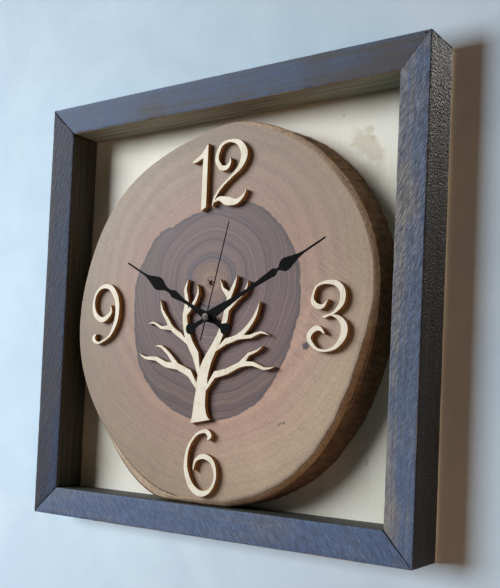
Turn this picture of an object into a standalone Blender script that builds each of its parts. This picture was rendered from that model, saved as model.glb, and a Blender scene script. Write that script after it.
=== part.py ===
"""Square wooden wall clock with a battery movement.

Four mitred rails make a shadow box. A plywood panel in their rebate carries a slice of a log, which
is the dial. Numerals and a bare tree cut from thin plywood are glued to the slice. A quartz movement
sits in a pocket behind the slice and drives three hands through its gear train.

Run it in Blender. Lengths are in metres. Seen from the front, X is to the right and Z is up. The wall
is the plane Y = 0 and the clock stands out from it towards -Y. The origin is the point on the wall
where the hanger bears on its hook. "Out" below is a distance from the wall, so y = -out.
"""
import math

import bmesh
import bpy

MM = 0.001

# Gaps: between touching pieces, round a shank in its hole, and between the thin pieces of a hub. A
# pressed piece has almost none round its shaft, and a turning one has enough to run.
GAP = 0.3 * MM
HOLE_PLAY = 0.2 * MM
HUB_GAP = 0.15 * MM
PRESS_PLAY = 0.06 * MM
RUNNING_PLAY = 0.1 * MM

# Frame rails
FRAME_SIDE = 350 * MM
RAIL_FACE = 23 * MM
RAIL_DEPTH = 38 * MM
FACE_FALL = 3.1 * MM
RAIL_ARRIS = 0.6 * MM
REBATE_WIDTH = 8 * MM
MITRE_GAP = 0.15 * MM

# Brads through the mitres, from above and below
BRAD_LENGTH = 30 * MM
BRAD_RADIUS = 0.8 * MM
BRAD_HEAD_RADIUS = 1.4 * MM
BRAD_HEAD_HEIGHT = 0.8 * MM
BRAD_SINK = 0.4 * MM

# Backing panel and its screws into the rebate
PANEL_THICKNESS = 4 * MM
PANEL_SINK = 1.7 * MM
WINDOW_PLAY = 1.0 * MM
PANEL_SCREW_SPACING = 180 * MM
PANEL_SCREW_LENGTH = 12 * MM
PANEL_SCREW_RADIUS = 1.3 * MM
PANEL_SCREW_HEAD_RADIUS = 2.6 * MM
PANEL_SCREW_HEAD_HEIGHT = 1.6 * MM

# Log slice: its margin inside the frame, the place of its middle, and the swell of its live edge
SLICE_MARGIN = 11.6 * MM
SLICE_SHIFT = 1.5 * MM
SLICE_DROP = 6 * MM
SLICE_THICKNESS = 25 * MM
SLICE_OVAL = 3.8 * MM
SLICE_LOBES = 1.3 * MM
SLICE_WAVES = 1.2 * MM
BARK_SLOPE = 0.3 * MM
BARK_RIPPLE = 0.35 * MM
EDGE_CHAMFER = 1.1 * MM
SLICE_SCREW_ACROSS = 90 * MM
SLICE_SCREW_UP = 120 * MM
SLICE_SCREW_LENGTH = 20 * MM
SLICE_SCREW_RADIUS = 1.9 * MM
SLICE_SCREW_HEAD_RADIUS = 3.8 * MM
SLICE_SCREW_HEAD_HEIGHT = 2.4 * MM

# Swells of the slice as (direction in degrees, reach, sharpness): those of its whole edge, and those that
# grow from the front face to the rear one
EDGE_SWELLS = [(-123, 3.2 * MM, 30), (-66, 1.0 * MM, 30)]
BARK_SWELLS = [(-36, 6.5 * MM, 4), (45, 1.6 * MM, 2)]

# Cross recess of the wood screws
RECESS_BLADE = 0.7 * MM
RECESS_DEPTH = 0.9 * MM

# Dial axis from the middle of the frame
AXIS_SHIFT = 2.5 * MM
AXIS_DROP = 10 * MM

# Plywood numerals and tree: thickness, spacing of the grids they are drawn on, how far in from the slice's
# edge each numeral sits, and how far the foot of the tree stands above the middle of the six
NUMERAL_THICKNESS = 3.6 * MM
NUMERAL_GRID = 1.0 * MM
TREE_GRID = 1.0 * MM
ONE_INSET = 35.9 * MM
ONE_SHIFT = -13.0 * MM
TWO_INSET = 34.4 * MM
TWO_SHIFT = 15.0 * MM
THREE_INSET = 36.9 * MM
THREE_SHIFT = -5.0 * MM
SIX_INSET = 26.4 * MM
SIX_SHIFT = -1.5 * MM
NINE_INSET = 34.4 * MM
NINE_SHIFT = 1.0 * MM
TREE_ABOVE_SIX = 31 * MM
TREE_SHIFT = -3.5 * MM

# Hands: lengths from the axis, spacing of the grid they are drawn on, tails, thickness, and the steps
# between them
MINUTE_HAND_LENGTH = 113.5 * MM
HOUR_HAND_LENGTH = 95.9 * MM
SECOND_HAND_LENGTH = 73.5 * MM
HAND_GRID = 1.0 * MM
SECOND_HAND_TAIL = 18 * MM
SECOND_HAND_HALF_WIDTH = 0.55 * MM
MINUTE_TAIL = 17.6 * MM
HOUR_TAIL = 18.3 * MM
TAIL_BULB_RADIUS = 4.45 * MM
HAND_THICKNESS = 0.5 * MM
SECOND_HAND_THICKNESS = 0.3 * MM
HAND_CLEARANCE = 0.5 * MM
HAND_STEP = 1.1 * MM
COLLET_HEIGHT = 0.7 * MM
COLLET_WALL = 0.7 * MM
SECOND_HUB_RADIUS = 2.4 * MM
NUT_THICKNESS = 0.6 * MM
NUT_RADIUS = 2.9 * MM
BOSS_RADIUS = 3.1 * MM
BOSS_HEIGHT = 1.1 * MM
NEEDLE_HALF_WIDTH = 0.6 * MM

# What the hands show, in degrees clockwise from twelve
HOUR_HAND_ANGLE = -61.3
MINUTE_HAND_ANGLE = 61.5
SECOND_HAND_ANGLE = 13.8

# Movement case
CASE_WALL = 1.2 * MM
CASE_SETBACK = 1.2 * MM
GEAR_ROOM_BELOW_AXIS = 10.8 * MM
COVER_THICKNESS = 1.2 * MM
COVER_SINK = 1.8 * MM
COVER_PLAY = 0.25 * MM
POCKET_PLAY = 1.5 * MM
COLLAR_RADIUS = 3.9 * MM
COLLAR_SETBACK = 0.6 * MM
CORNER_POST_RADIUS = 1.5 * MM
CORNER_POST_INSET = 2.9 * MM
POST_RADIUS = 0.9 * MM
PAD_SIDE = 40 * MM
PAD_THICKNESS = 1.0 * MM

# Battery and its contacts
BATTERY_RADIUS = 7.0 * MM
BATTERY_LENGTH = 49 * MM
BATTERY_RIM = 0.8 * MM
NUB_RADIUS = 2.7 * MM
NUB_LENGTH = 1.2 * MM
BAY_PLAY = 0.4 * MM
CONTACT_SPACE = 1.7 * MM
CONTACT_THICKNESS = 0.4 * MM
CONTACT_WALL_GAP = 0.2 * MM
CONTACT_PAD_HEIGHT = 9 * MM
CONTACT_PAD_DEPTH = 10.6 * MM
CONTACT_DIMPLE_RADIUS = 2.2 * MM
CONTACT_TAB_LENGTH = 7 * MM
CONTACT_TAB_HEIGHT = 2.2 * MM

# Gear train: distances between arbors, wheel thickness and the levels of the wheels
ARBOR_SPACING = 9.2 * MM
ROTOR_SPACING = 6.6 * MM
WHEEL_THICKNESS = 0.8 * MM
FIRST_LEVEL = 1.8 * MM
LEVEL_PITCH = 1.45 * MM
PINION_OVERRUN = 0.3 * MM
ARBOR_RADIUS = 0.45 * MM
MINUTE_TUBE_RADIUS = 1.6 * MM
HOUR_TUBE_RADIUS = 2.5 * MM
MINUTE_POST_RADIUS = 1.0 * MM
KNOB_RADIUS = 5.2 * MM
KNOB_THICKNESS = 1.2 * MM
KNOB_RIDGES = 16
KNOB_GROOVE = 0.4 * MM
KNOB_ARBOR_RADIUS = 0.9 * MM
ADDENDUM = 0.7
DEDENDUM = 1.15
ROOT_SHARE = 0.52
TIP_SHARE = 0.29

# Teeth
SECOND_TEETH = 36
SECOND_PINION = 6
INTERMEDIATE_TEETH = 30
INTERMEDIATE_PINION = 6
ROTOR_PINION = 6
THIRD_TEETH = 45
THIRD_PINION = 6
CENTRE_TEETH = 48
CANNON_PINION = 10
MINUTE_TEETH = 30
MINUTE_PINION = 8
HOUR_TEETH = 32
SETTING_PINION = 10

# Directions from one arbor to the next, in degrees from +X towards +Z
INTERMEDIATE_ANGLE = 10
ROTOR_ANGLE = 15
THIRD_ANGLE = 125
MINUTE_ANGLE = 190
SETTING_ANGLE = 190

# Stepping motor
MAGNET_RADIUS = 2.6 * MM
MAGNET_OVERHANG = 1.1 * MM
STATOR_HOLE_RADIUS = 3.1 * MM
STATOR_HALF_WIDTH = 3.8 * MM
STATOR_THICKNESS = 0.8 * MM
STATOR_BELOW_ROTOR = 9.8 * MM
STATOR_ABOVE_ROTOR = 13.2 * MM
STATOR_LEVEL = 3.1 * MM
CORE_GAP = 0.1 * MM
CORE_BAR_WIDTH = 2.4 * MM
CORE_TAB_HEIGHT = 2.8 * MM
COIL_CLEARANCE = 0.2 * MM
COIL_FLANGE_RADIUS = 3.5 * MM
COIL_RADIUS = 3.2 * MM
BOBBIN_RADIUS = 2.0 * MM
BOBBIN_LENGTH = 15 * MM
BOBBIN_FLANGE = 0.8 * MM
BOBBIN_HOLE_PLAY = 0.15 * MM

# Circuit board
BOARD_ABOVE_POST = 2.8 * MM
BOARD_HALF_WIDTH = 21.8 * MM
BOARD_HEIGHT = 7.6 * MM
BOARD_TOP_PLAY = 0.4 * MM
BOARD_THICKNESS = 0.8 * MM
BOARD_POST_SPACING = 36 * MM
CHIP_RADIUS = 2.6 * MM
CHIP_HEIGHT = 1.0 * MM
CRYSTAL_RADIUS = 1.0 * MM
CRYSTAL_LENGTH = 6 * MM

# Hanger let into the back of the top rail
HANGER_DROP = 9 * MM
HANGER_WIDTH = 64 * MM
HANGER_HEIGHT = 5.7 * MM
HANGER_THICKNESS = 1.0 * MM
HANGER_SET = 0.9 * MM
HANGER_TEETH = 9
HANGER_TOOTH_PITCH = 4 * MM
HANGER_TOOTH_HEIGHT = 1.0 * MM
HANGER_POCKET_WIDTH = 48 * MM
HANGER_POCKET_DEPTH = 6.6 * MM
HANGER_PIN_INSET = 3.6 * MM
HANGER_PIN_LENGTH = 10 * MM
HANGER_PIN_RADIUS = 0.8 * MM
HANGER_PIN_HEAD_RADIUS = 2.0 * MM
HANGER_PIN_HEAD_HEIGHT = 0.5 * MM

# How far a cutter runs past what it cuts, and how far a joined piece runs into its neighbour
PAST = 1.0 * MM
BITE = 0.6 * MM

# Numeral strokes, each a run of (x, z, half width) in steps of the drawing grid, round the numeral's own
# middle
TWO_CURL = [
    (-0.5, 11.0, 0.25), (-0.8, 7.0, 1.2), (-3.3, 4.0, 1.9), (-6.4, 3.4, 2.1), (-9.7, 4.7, 2.05),
    (-13.2, 11.8, 1.8), (-9.6, 21.1, 1.5), (-1.7, 23.7, 1.2), (7.0, 21.0, 2.3), (12.1, 12.7, 3.15),
    (9.0, 3.3, 2.2), (1.5, -3.3, 1.2), (-7.8, -10.8, 1.1), (-13.9, -18.7, 1.1), (-15.7, -25.0, 0.45),
]
TWO_FOOT = [
    (-14.5, -21.8, 0.7), (-9.3, -19.6, 1.75), (-2.0, -22.0, 3.4), (6.5, -23.1, 2.2),
    (12.8, -19.0, 1.1), (15.1, -14.7, 0.3),
]
THREE_TOP = [
    (-0.5, 12.0, 0.25), (-3.5, 8.0, 1.25), (-6.5, 6.8, 1.85), (-9.7, 7.7, 2.0), (-12.2, 10.0, 1.85),
    (-13.0, 13.7, 1.3), (-10.3, 20.9, 0.95), (-3.5, 23.8, 1.3), (5.2, 22.9, 2.1), (10.5, 17.3, 2.4),
    (10.2, 9.3, 2.1), (4.8, 2.9, 1.15), (-0.4, 0.7, 0.9), (-2.5, 0.0, 1.15), (-4.8, -0.6, 0.35),
]
THREE_BOWL = [
    (2.4, 0.9, 0.5), (8.2, -1.0, 1.7), (12.6, -6.6, 2.7), (12.2, -13.8, 2.55), (7.0, -20.7, 1.65),
    (-0.4, -23.6, 1.05), (-8.3, -22.5, 1.2), (-14.2, -16.4, 1.8), (-14.0, -11.8, 2.05),
    (-9.6, -8.2, 2.05), (-5.6, -8.8, 1.5), (-2.3, -12.2, 0.5),
]
SIX_STROKE = [
    (6.0, 17.4, 0.5), (7.7, 20.8, 2.1), (5.6, 23.6, 2.0), (1.8, 24.1, 1.5), (-5.1, 20.9, 1.1),
    (-11.3, 12.5, 1.3), (-13.8, 2.3, 1.65), (-12.9, -7.7, 2.1), (-7.8, -17.7, 2.6),
    (0.5, -22.7, 2.6), (8.9, -20.5, 1.65), (13.8, -13.0, 1.2), (13.9, -4.5, 1.55), (9.9, 2.7, 2.1),
    (2.6, 5.2, 2.1), (-4.0, 2.3, 1.35), (-6.1, -3.2, 0.8), (-5.9, -6.2, 0.3),
]
NINE_STROKE = [
    (5.5, 7.2, 0.25), (5.4, 0.8, 1.5), (-2.8, -4.7, 2.25), (-10.8, -1.0, 2.2), (-14.0, 7.5, 1.5),
    (-11.9, 17.0, 1.2), (-5.2, 22.6, 1.65), (3.8, 22.0, 2.3), (10.5, 14.2, 2.55), (12.8, 3.8, 2.3),
    (11.2, -7.5, 1.9), (5.1, -18.1, 1.15), (-4.9, -23.6, 0.9), (-9.0, -23.5, 1.3),
    (-12.0, -21.6, 1.8), (-12.0, -18.8, 1.6), (-10.4, -17.3, 0.8), (-8.9, -16.9, 0.3),
]
ONE_OUTLINE = [
    (6.3, 26.0), (6.5, -23.5), (4.5, -24.7), (2.2, -26.2), (1.4, -24.5), (1.5, 15.1), (-3.5, 12.5),
    (-7.5, 11.6), (-8.6, 13.0), (-7.8, 14.0), (-4.0, 16.0), (-0.5, 18.2), (2.5, 21.5), (4.5, 24.3),
]

# Hand outlines as (distance, half width) in steps of the drawing grid. The arm runs out from the axis, and
# the spade, with its collar, runs back from the tip. Between them the hand narrows, and those points are
# (share of the way, half width).
MINUTE_ARM = [
    (-11.0, 1.9), (-8.0, 1.6), (-4.5, 1.9), (-2.0, 3.0), (0.0, 3.9), (3.0, 4.1), (6.0, 3.9),
    (12.0, 3.35),
]
MINUTE_TAPER = [(0.24, 2.6), (0.55, 1.75), (0.79, 1.35)]
MINUTE_SPADE = [
    (68.5, 1.5), (58.5, 2.1), (51.5, 2.6), (48.0, 2.9), (46.6, 2.7), (45.0, 1.4), (43.5, 1.1),
    (42.4, 1.4), (41.0, 2.7), (39.4, 4.1), (37.5, 4.8), (35.2, 4.8), (31.5, 3.6), (27.5, 2.4),
    (23.5, 1.4), (19.5, 0.8),
]
HOUR_ARM = [
    (-12.0, 1.9), (-9.0, 1.6), (-5.0, 1.9), (-2.2, 2.9), (0.0, 3.7), (3.0, 3.6), (6.0, 2.95),
    (12.0, 2.2),
]
HOUR_TAPER = [(0.34, 1.65), (0.73, 1.3)]
HOUR_SPADE = [
    (66.0, 1.6), (61.0, 2.5), (57.4, 3.05), (55.2, 2.9), (53.0, 1.9), (50.0, 1.5), (47.0, 1.7),
    (44.0, 2.9), (41.0, 4.4), (38.4, 5.1), (36.0, 5.0), (32.0, 3.7), (28.0, 2.3), (24.0, 1.2),
    (20.0, 0.8),
]

# Tree limbs, each a run of (x, z, half width) in steps of the drawing grid from the foot of the trunk, with
# the shoots that leave its left or right side after a numbered point of the run
TREE = {
    "run": [
        (0.0, 0.0, 9.5), (-0.8, 5.0, 7.0), (-1.2, 13.0, 5.6), (-0.2, 24.0, 4.9), (0.8, 34.0, 4.9),
        (4.0, 45.0, 4.2), (9.5, 55.0, 3.3), (14.5, 64.0, 2.9), (18.5, 74.0, 2.6), (20.5, 84.0, 2.3),
        (22.0, 93.0, 2.0), (26.0, 102.0, 1.5), (29.0, 110.0, 0.3),
    ],
    "left": {
        3: {
            "run": [
                (-12.0, 36.5, 2.9), (-24.0, 41.5, 2.6), (-36.0, 43.0, 2.3), (-46.0, 47.5, 1.8),
                (-57.0, 48.0, 1.2), (-64.0, 52.0, 0.3),
            ],
            "right": {1: {"run": [(-33.0, 51.0, 1.6), (-41.0, 57.0, 1.2), (-47.5, 57.5, 0.3)]}},
        },
        4: {
            "run": [
                (-7.0, 51.0, 3.4), (-13.0, 60.0, 3.0), (-17.0, 70.0, 2.7), (-19.0, 81.0, 2.3),
                (-17.5, 92.0, 1.9), (-19.5, 101.0, 1.5), (-17.0, 109.0, 0.3),
            ],
            "left": {
                1: {
                    "run": [
                        (-23.0, 66.0, 2.2), (-31.0, 71.0, 1.9), (-37.0, 79.0, 1.6),
                        (-42.0, 86.0, 1.2), (-44.0, 94.0, 0.3),
                    ],
                    "left": {1: {"run": [(-42.0, 72.0, 1.3), (-50.0, 76.0, 0.9), (-56.0, 75.0, 0.3)]}},
                },
            },
            "right": {3: {"run": [(-11.0, 90.0, 1.5), (-7.0, 98.0, 1.1), (-8.0, 105.0, 0.3)]}},
        },
        10: {"run": [(16.0, 101.0, 1.2), (13.5, 108.0, 0.3)]},
    },
    "right": {
        3: {
            "run": [
                (12.0, 36.0, 2.7), (23.0, 38.5, 2.4), (34.0, 43.5, 2.1), (46.0, 44.5, 1.7),
                (56.0, 41.0, 1.2), (65.0, 42.5, 0.3),
            ],
            "left": {2: {"run": [(42.0, 51.5, 1.3), (49.0, 54.0, 0.9), (54.0, 57.5, 0.3)]}},
        },
        6: {
            "run": [
                (21.0, 61.0, 2.4), (31.0, 64.0, 2.1), (40.0, 71.0, 1.8), (46.5, 80.0, 1.4),
                (50.0, 90.0, 0.3),
            ],
            "right": {1: {"run": [(43.0, 64.5, 1.5), (52.0, 67.5, 1.0), (60.0, 65.0, 0.3)]}},
        },
        9: {"run": [(29.5, 92.5, 1.6), (36.5, 98.0, 1.2), (39.0, 106.0, 0.3)]},
    },
}

# Places worked out from the sizes above. A rear or a front is a distance out from the wall.
half_side = FRAME_SIDE / 2
panel_rear = PANEL_SINK
panel_front = panel_rear + PANEL_THICKNESS
rebate_depth = panel_front + GAP
slice_rear = panel_front + GAP
slice_front = slice_rear + SLICE_THICKNESS
opening_half = half_side - RAIL_FACE
slice_radius = opening_half - SLICE_MARGIN
ply_rear = slice_front + GAP
ply_front = ply_rear + NUMERAL_THICKNESS
hook_height = half_side - HANGER_DROP

hour_hand_rear = ply_front + HAND_CLEARANCE
hour_hand_front = hour_hand_rear + HAND_THICKNESS
minute_hand_rear = hour_hand_front + HAND_STEP
minute_hand_front = minute_hand_rear + HAND_THICKNESS
nut_rear = minute_hand_front + HUB_GAP
nut_front = nut_rear + NUT_THICKNESS
second_hand_rear = minute_hand_front + HAND_STEP
second_hand_front = second_hand_rear + SECOND_HAND_THICKNESS
boss_rear = second_hand_front + HUB_GAP
boss_front = boss_rear + BOSS_HEIGHT


def polar(length, degrees, start=(0.0, 0.0)):
    angle = math.radians(degrees)
    return (start[0] + length * math.cos(angle), start[1] + length * math.sin(angle))


# The case is as wide as the wider of what it holds, the battery with its contacts or the motor, and its
# gear room as high as the motor's upper post and the board above it.
intermediate_place = polar(ARBOR_SPACING, INTERMEDIATE_ANGLE)
rotor_place = polar(ROTOR_SPACING, ROTOR_ANGLE, intermediate_place)
coil_x = rotor_place[0] + STATOR_HALF_WIDTH + COIL_CLEARANCE + COIL_FLANGE_RADIUS
stator_low = rotor_place[1] - STATOR_BELOW_ROTOR
stator_high = rotor_place[1] + STATOR_ABOVE_ROTOR
upper_post_z = stator_high - CORE_TAB_HEIGHT / 2
bay_height = 2 * (BATTERY_RADIUS + BAY_PLAY)
bay_length = BATTERY_LENGTH + NUB_LENGTH + 2 * CONTACT_SPACE
room_half = max(bay_length / 2, coil_x + COIL_FLANGE_RADIUS + GAP)
case_half = room_half + CASE_WALL
room_bottom = -GEAR_ROOM_BELOW_AXIS
room_top = upper_post_z + POST_RADIUS + BOARD_ABOVE_POST + BOARD_HEIGHT + BOARD_TOP_PLAY
bay_top = room_bottom - CASE_WALL
bay_bottom = bay_top - bay_height
case_top = room_top + CASE_WALL
case_bottom = bay_bottom - CASE_WALL
case_rear = CASE_SETBACK
case_floor = case_rear + bay_height
case_front = case_floor + CASE_WALL
cover_rear = case_rear + COVER_SINK
cover_front = cover_rear + COVER_THICKNESS
pad_rear = case_front + GAP
pad_front = pad_rear + PAD_THICKNESS
pocket_floor = pad_front + GAP
collar_front = slice_front - COLLAR_SETBACK
arbor_rear = cover_rear + GAP
arbor_front = case_floor + CASE_WALL / 2
pivot_radius = ARBOR_RADIUS + RUNNING_PLAY
stator_rear = cover_front + STATOR_LEVEL
stator_front = stator_rear + STATOR_THICKNESS
core_rear = stator_front + CORE_GAP
core_front = core_rear + STATOR_THICKNESS
battery_out = case_rear + BAY_PLAY + BATTERY_RADIUS
battery_z = (bay_top + bay_bottom) / 2
hanger_rear = HANGER_SET
hanger_front = hanger_rear + HANGER_THICKNESS


def level(number):
    """Rear face of a wheel, counted up from the rear cover."""
    return cover_front + FIRST_LEVEL + number * LEVEL_PITCH


board_rear = level(4)
board_front = board_rear + BOARD_THICKNESS
board_high = room_top - BOARD_TOP_PLAY
board_low = board_high - BOARD_HEIGHT
board_middle = (board_low + board_high) / 2
contact_rear = board_front + GAP


def linear(hex_colour):
    """Scene-linear colour of an sRGB hex value."""
    channels = [int(hex_colour[i:i + 2], 16) / 255 for i in (1, 3, 5)]
    return [c / 12.92 if c <= 0.04045 else ((c + 0.055) / 1.055) ** 2.4 for c in channels] + [1.0]


def material(name, hex_colour, roughness, metallic=0.0):
    made = bpy.data.materials.new(name)
    made.use_nodes = True
    shader = made.node_tree.nodes["Principled BSDF"]
    shader.inputs["Base Color"].default_value = linear(hex_colour)
    shader.inputs["Roughness"].default_value = roughness
    shader.inputs["Metallic"].default_value = metallic
    made.diffuse_color = linear(hex_colour)
    return made


def finished_mesh(name, shape):
    """Mesh of a closed shape, with its faces pointing out and its round stretches smooth."""
    bmesh.ops.recalc_face_normals(shape, faces=shape.faces)
    mesh = bpy.data.meshes.new(name)
    shape.to_mesh(mesh)
    shape.free()
    mesh.shade_smooth()
    mesh.set_sharp_from_angle(angle=math.radians(35))
    return mesh


def add_piece(name, mesh, finish, parent, place=(0, 0, 0), turn=(0, 0, 0)):
    """A named object. Its place is given as (x, out, z)."""
    piece = bpy.data.objects.new(name, mesh)
    bpy.context.scene.collection.objects.link(piece)
    piece.parent = parent
    piece.location = (place[0], -place[1], place[2])
    piece.rotation_euler = turn
    if not mesh.materials:
        mesh.materials.append(finish)
    return piece


def add_tool(name, mesh, parent, place=(0, 0, 0), turn=(0, 0, 0)):
    """A cutter or a joined form, which is a guide and not a piece of the clock."""
    tool = add_piece(name, mesh, None, parent, place, turn)
    tool.hide_render = True
    tool.display_type = "WIRE"
    return tool


def combine(piece, tools, operation):
    for tool in tools:
        step = piece.modifiers.new(tool.name, "BOOLEAN")
        step.operation = operation
        step.solver = "EXACT"
        step.object = tool


def even_out(pieces):
    """Let the large faces set the shading of pieces that were cut or joined."""
    for piece in pieces:
        if piece.modifiers and not piece.hide_render:
            piece.modifiers.new("face_shading", "WEIGHTED_NORMAL").keep_sharp = True


def cut(piece, tools):
    combine(piece, tools, "DIFFERENCE")


def join(piece, tools):
    combine(piece, tools, "UNION")


def circle(radius, sides, x=0.0, z=0.0):
    return [(x + radius * math.cos(math.tau * k / sides), z + radius * math.sin(math.tau * k / sides))
            for k in range(sides)]


def rectangle(x_low, x_high, z_low, z_high):
    return [(x_low, z_low), (x_high, z_low), (x_high, z_high), (x_low, z_high)]


def layered(name, layers):
    """Closed solid built up from the back. Each layer is (outline, bore outline or None, rear, front)."""
    shape = bmesh.new()

    def ring(outline, out):
        if outline is None:
            return []
        corners = [shape.verts.new((x, -out, z)) for x, z in outline]
        for first, second in zip(corners, corners[1:] + corners[:1]):
            shape.edges.new((first, second))
        return corners

    def wall(rear_ring, front_ring):
        count = len(rear_ring)
        for k in range(count):
            after = (k + 1) % count
            shape.faces.new((rear_ring[k], rear_ring[after], front_ring[after], front_ring[k]))

    def fill(rings):
        edges = []
        for corners in rings:
            for first, second in zip(corners, corners[1:] + corners[:1]):
                edges.append(shape.edges.get((first, second)))
        if edges:
            bmesh.ops.triangle_fill(shape, use_beauty=True, edges=edges, normal=(0, -1, 0))

    outer_below = ring(layers[0][0], layers[0][2])
    bore_below = ring(layers[0][1], layers[0][2])
    fill([r for r in (outer_below, bore_below) if r])
    for number, (outline, bore, rear, front) in enumerate(layers):
        outer_above = ring(outline, front)
        bore_above = ring(bore, front)
        wall(outer_below, outer_above)
        wall(bore_below, bore_above)
        if number + 1 == len(layers):
            fill([r for r in (outer_above, bore_above) if r])
            break
        next_outline, next_bore = layers[number + 1][:2]
        outer_below, bore_below = outer_above, bore_above
        if next_outline is not outline:
            outer_below = ring(next_outline, front)
            fill([outer_above, outer_below])
        if next_bore is not bore:
            bore_below = ring(next_bore, front)
            fill([r for r in (bore_above, bore_below) if r])
    return finished_mesh(name, shape)


def prism(name, outline, rear, front):
    return layered(name, [(outline, None, rear, front)])


def box(name, x_low, x_high, rear, front, z_low, z_high):
    return prism(name, rectangle(x_low, x_high, z_low, z_high), rear, front)


def turned(name, profile, sides, ring=False):
    """Solid of revolution about the out axis, from (radius, out) points. A ring's profile closes."""
    shape = bmesh.new()
    corners = [shape.verts.new((radius, -out, 0)) for radius, out in profile]
    pairs = list(zip(corners, corners[1:]))
    if ring:
        pairs.append((corners[-1], corners[0]))
    edges = [shape.edges.new(pair) for pair in pairs]
    bmesh.ops.spin(shape, geom=corners + edges, cent=(0, 0, 0), axis=(0, 1, 0), dvec=(0, 0, 0),
                   angle=math.tau, steps=sides, use_merge=True)
    bmesh.ops.remove_doubles(shape, verts=shape.verts, dist=1e-6)
    return finished_mesh(name, shape)


def between(before, start, end, after, share):
    """Point on a smooth curve through four neighbours, a share of the way from start to end."""
    point = []
    for a, b, c, d in zip(before, start, end, after):
        point.append(0.5 * (2 * b + (c - a) * share + (2 * a - 5 * b + 4 * c - d) * share ** 2
                            + (3 * b - a - 3 * c + d) * share ** 3))
    return tuple(point)


def smooth_run(run, steps):
    """The run with extra points on a smooth curve between each pair."""
    first = tuple(2 * a - b for a, b in zip(run[0], run[1]))
    last = tuple(2 * a - b for a, b in zip(run[-1], run[-2]))
    padded = [first] + list(run) + [last]
    points = []
    for k in range(1, len(padded) - 2):
        for step in range(steps):
            points.append(between(*padded[k - 1:k + 3], step / steps))
    points.append(run[-1])
    return points


def run_sides(run):
    """Left and right edge points of a run of (x, z, half width)."""
    left, right = [], []
    for k, (x, z, half_width) in enumerate(run):
        before = run[max(k - 1, 0)]
        after = run[min(k + 1, len(run) - 1)]
        ahead_x, ahead_z = after[0] - before[0], after[1] - before[1]
        length = math.hypot(ahead_x, ahead_z)
        side_x, side_z = -ahead_z / length * half_width, ahead_x / length * half_width
        left.append((x + side_x, z + side_z))
        right.append((x - side_x, z - side_z))
    return left, right


def drawn(points, grid):
    """Drawing points at their real size."""
    return [tuple(v * grid for v in point) for point in points]


def stroke(run, steps=3):
    """Closed outline of a pen stroke of a numeral."""
    left, right = run_sides(drawn(smooth_run(run, steps), NUMERAL_GRID))
    return right + left[::-1]


def limb_outline(limb):
    """Outline of a limb from its left foot round its tip to its right foot, with all its shoots."""
    steps = 2
    left, right = run_sides(smooth_run(limb["run"], steps))
    up, down = [], []
    for k, point in enumerate(left[:-1]):
        up.append(point)
        if k % steps == 0 and k // steps in limb.get("left", {}):
            up += limb_outline(limb["left"][k // steps])
    for k, point in enumerate(right[:-1]):
        if k % steps == 1 and k // steps in limb.get("right", {}):
            down = limb_outline(limb["right"][k // steps]) + down
            down = [point] + down
            continue
        down = [point] + down
    tip = tuple((a + b) / 2 for a, b in zip(left[-1], right[-1]))
    return up + [tip] + down


def gear_outline(teeth, module, start):
    """Closed outline of a small moulded gear. A tooth's middle lies in the direction start."""
    pitch_radius = teeth * module / 2
    root = pitch_radius - DEDENDUM * module
    tip = pitch_radius + ADDENDUM * module
    half_step = math.pi / teeth
    corners = []
    for k in range(teeth):
        middle = start + 2 * k * half_step
        for radius, share in ((root, -ROOT_SHARE), (tip, -TIP_SHARE), (tip, TIP_SHARE), (root, ROOT_SHARE)):
            angle = middle + share * half_step
            corners.append((radius * math.cos(angle), radius * math.sin(angle)))
    return corners


def meshed_start(teeth, start, direction, mate_teeth):
    """Tooth direction of a gear whose gap meets the tooth of its mate in the given direction."""
    phase = (direction - start) * teeth / math.tau
    return direction + math.pi - (0.5 - phase) * math.tau / mate_teeth


def module_for(spacing, teeth, mate_teeth):
    return 2 * spacing / (teeth + mate_teeth)


def screw_profile(length, radius, head_radius, head_height, play=0.0):
    """Half outline of a countersunk screw, head at out = 0, or of its hole where play is given."""
    tip = 2 * radius
    top = -PAST if play else 0.0
    return [(0, top), (head_radius + play, top), (head_radius + play, 0.1 * head_height),
            (radius + play, head_height + play), (radius + play, length - tip + play),
            (0, length + play)]


def screw_mesh(name, length, radius, head_radius, head_height):
    """Countersunk screw with a cross recess, head towards the wall."""
    blank = turned(name + "_blank", screw_profile(length, radius, head_radius, head_height), 12)
    arm = head_radius * 0.6
    blade = RECESS_BLADE / 2
    cross = [(blade, blade), (blade, arm), (-blade, arm), (-blade, blade), (-arm, blade), (-arm, -blade),
             (-blade, -blade), (-blade, -arm), (blade, -arm), (blade, -blade), (arm, -blade), (arm, blade)]
    master = bpy.data.objects.new(name, blank)
    cutter = bpy.data.objects.new(name + "_recess", prism(name + "_recess", cross, -PAST, RECESS_DEPTH))
    for thing in (master, cutter):
        bpy.context.scene.collection.objects.link(thing)
    cut(master, [cutter])
    bpy.context.view_layer.update()
    view = bpy.context.evaluated_depsgraph_get()
    mesh = bpy.data.meshes.new_from_object(master.evaluated_get(view))
    mesh.name = name
    bpy.data.objects.remove(master)
    bpy.data.objects.remove(cutter)
    return mesh


def tail_bulb(tail):
    """Round end of a hand's tail, as (distance, half width) points in metres."""
    points = []
    for degrees in range(15, 151, 15):
        angle = math.radians(degrees)
        points.append((-tail - TAIL_BULB_RADIUS * math.cos(angle), TAIL_BULB_RADIUS * math.sin(angle)))
    return [(-tail - TAIL_BULB_RADIUS, 0.0)] + points


def hand_outline(points):
    """Closed outline of a hand that points up, from (distance, half width) points, tail to tip."""
    right = [(half_width, distance) for distance, half_width in points if half_width > 0]
    left = [(-x, z) for x, z in right[::-1]]
    foot = [(0.0, distance) for distance, half_width in points[:1] if half_width == 0]
    tip = [(0.0, distance) for distance, half_width in points[-1:] if half_width == 0]
    return right + tip + left + foot


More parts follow.
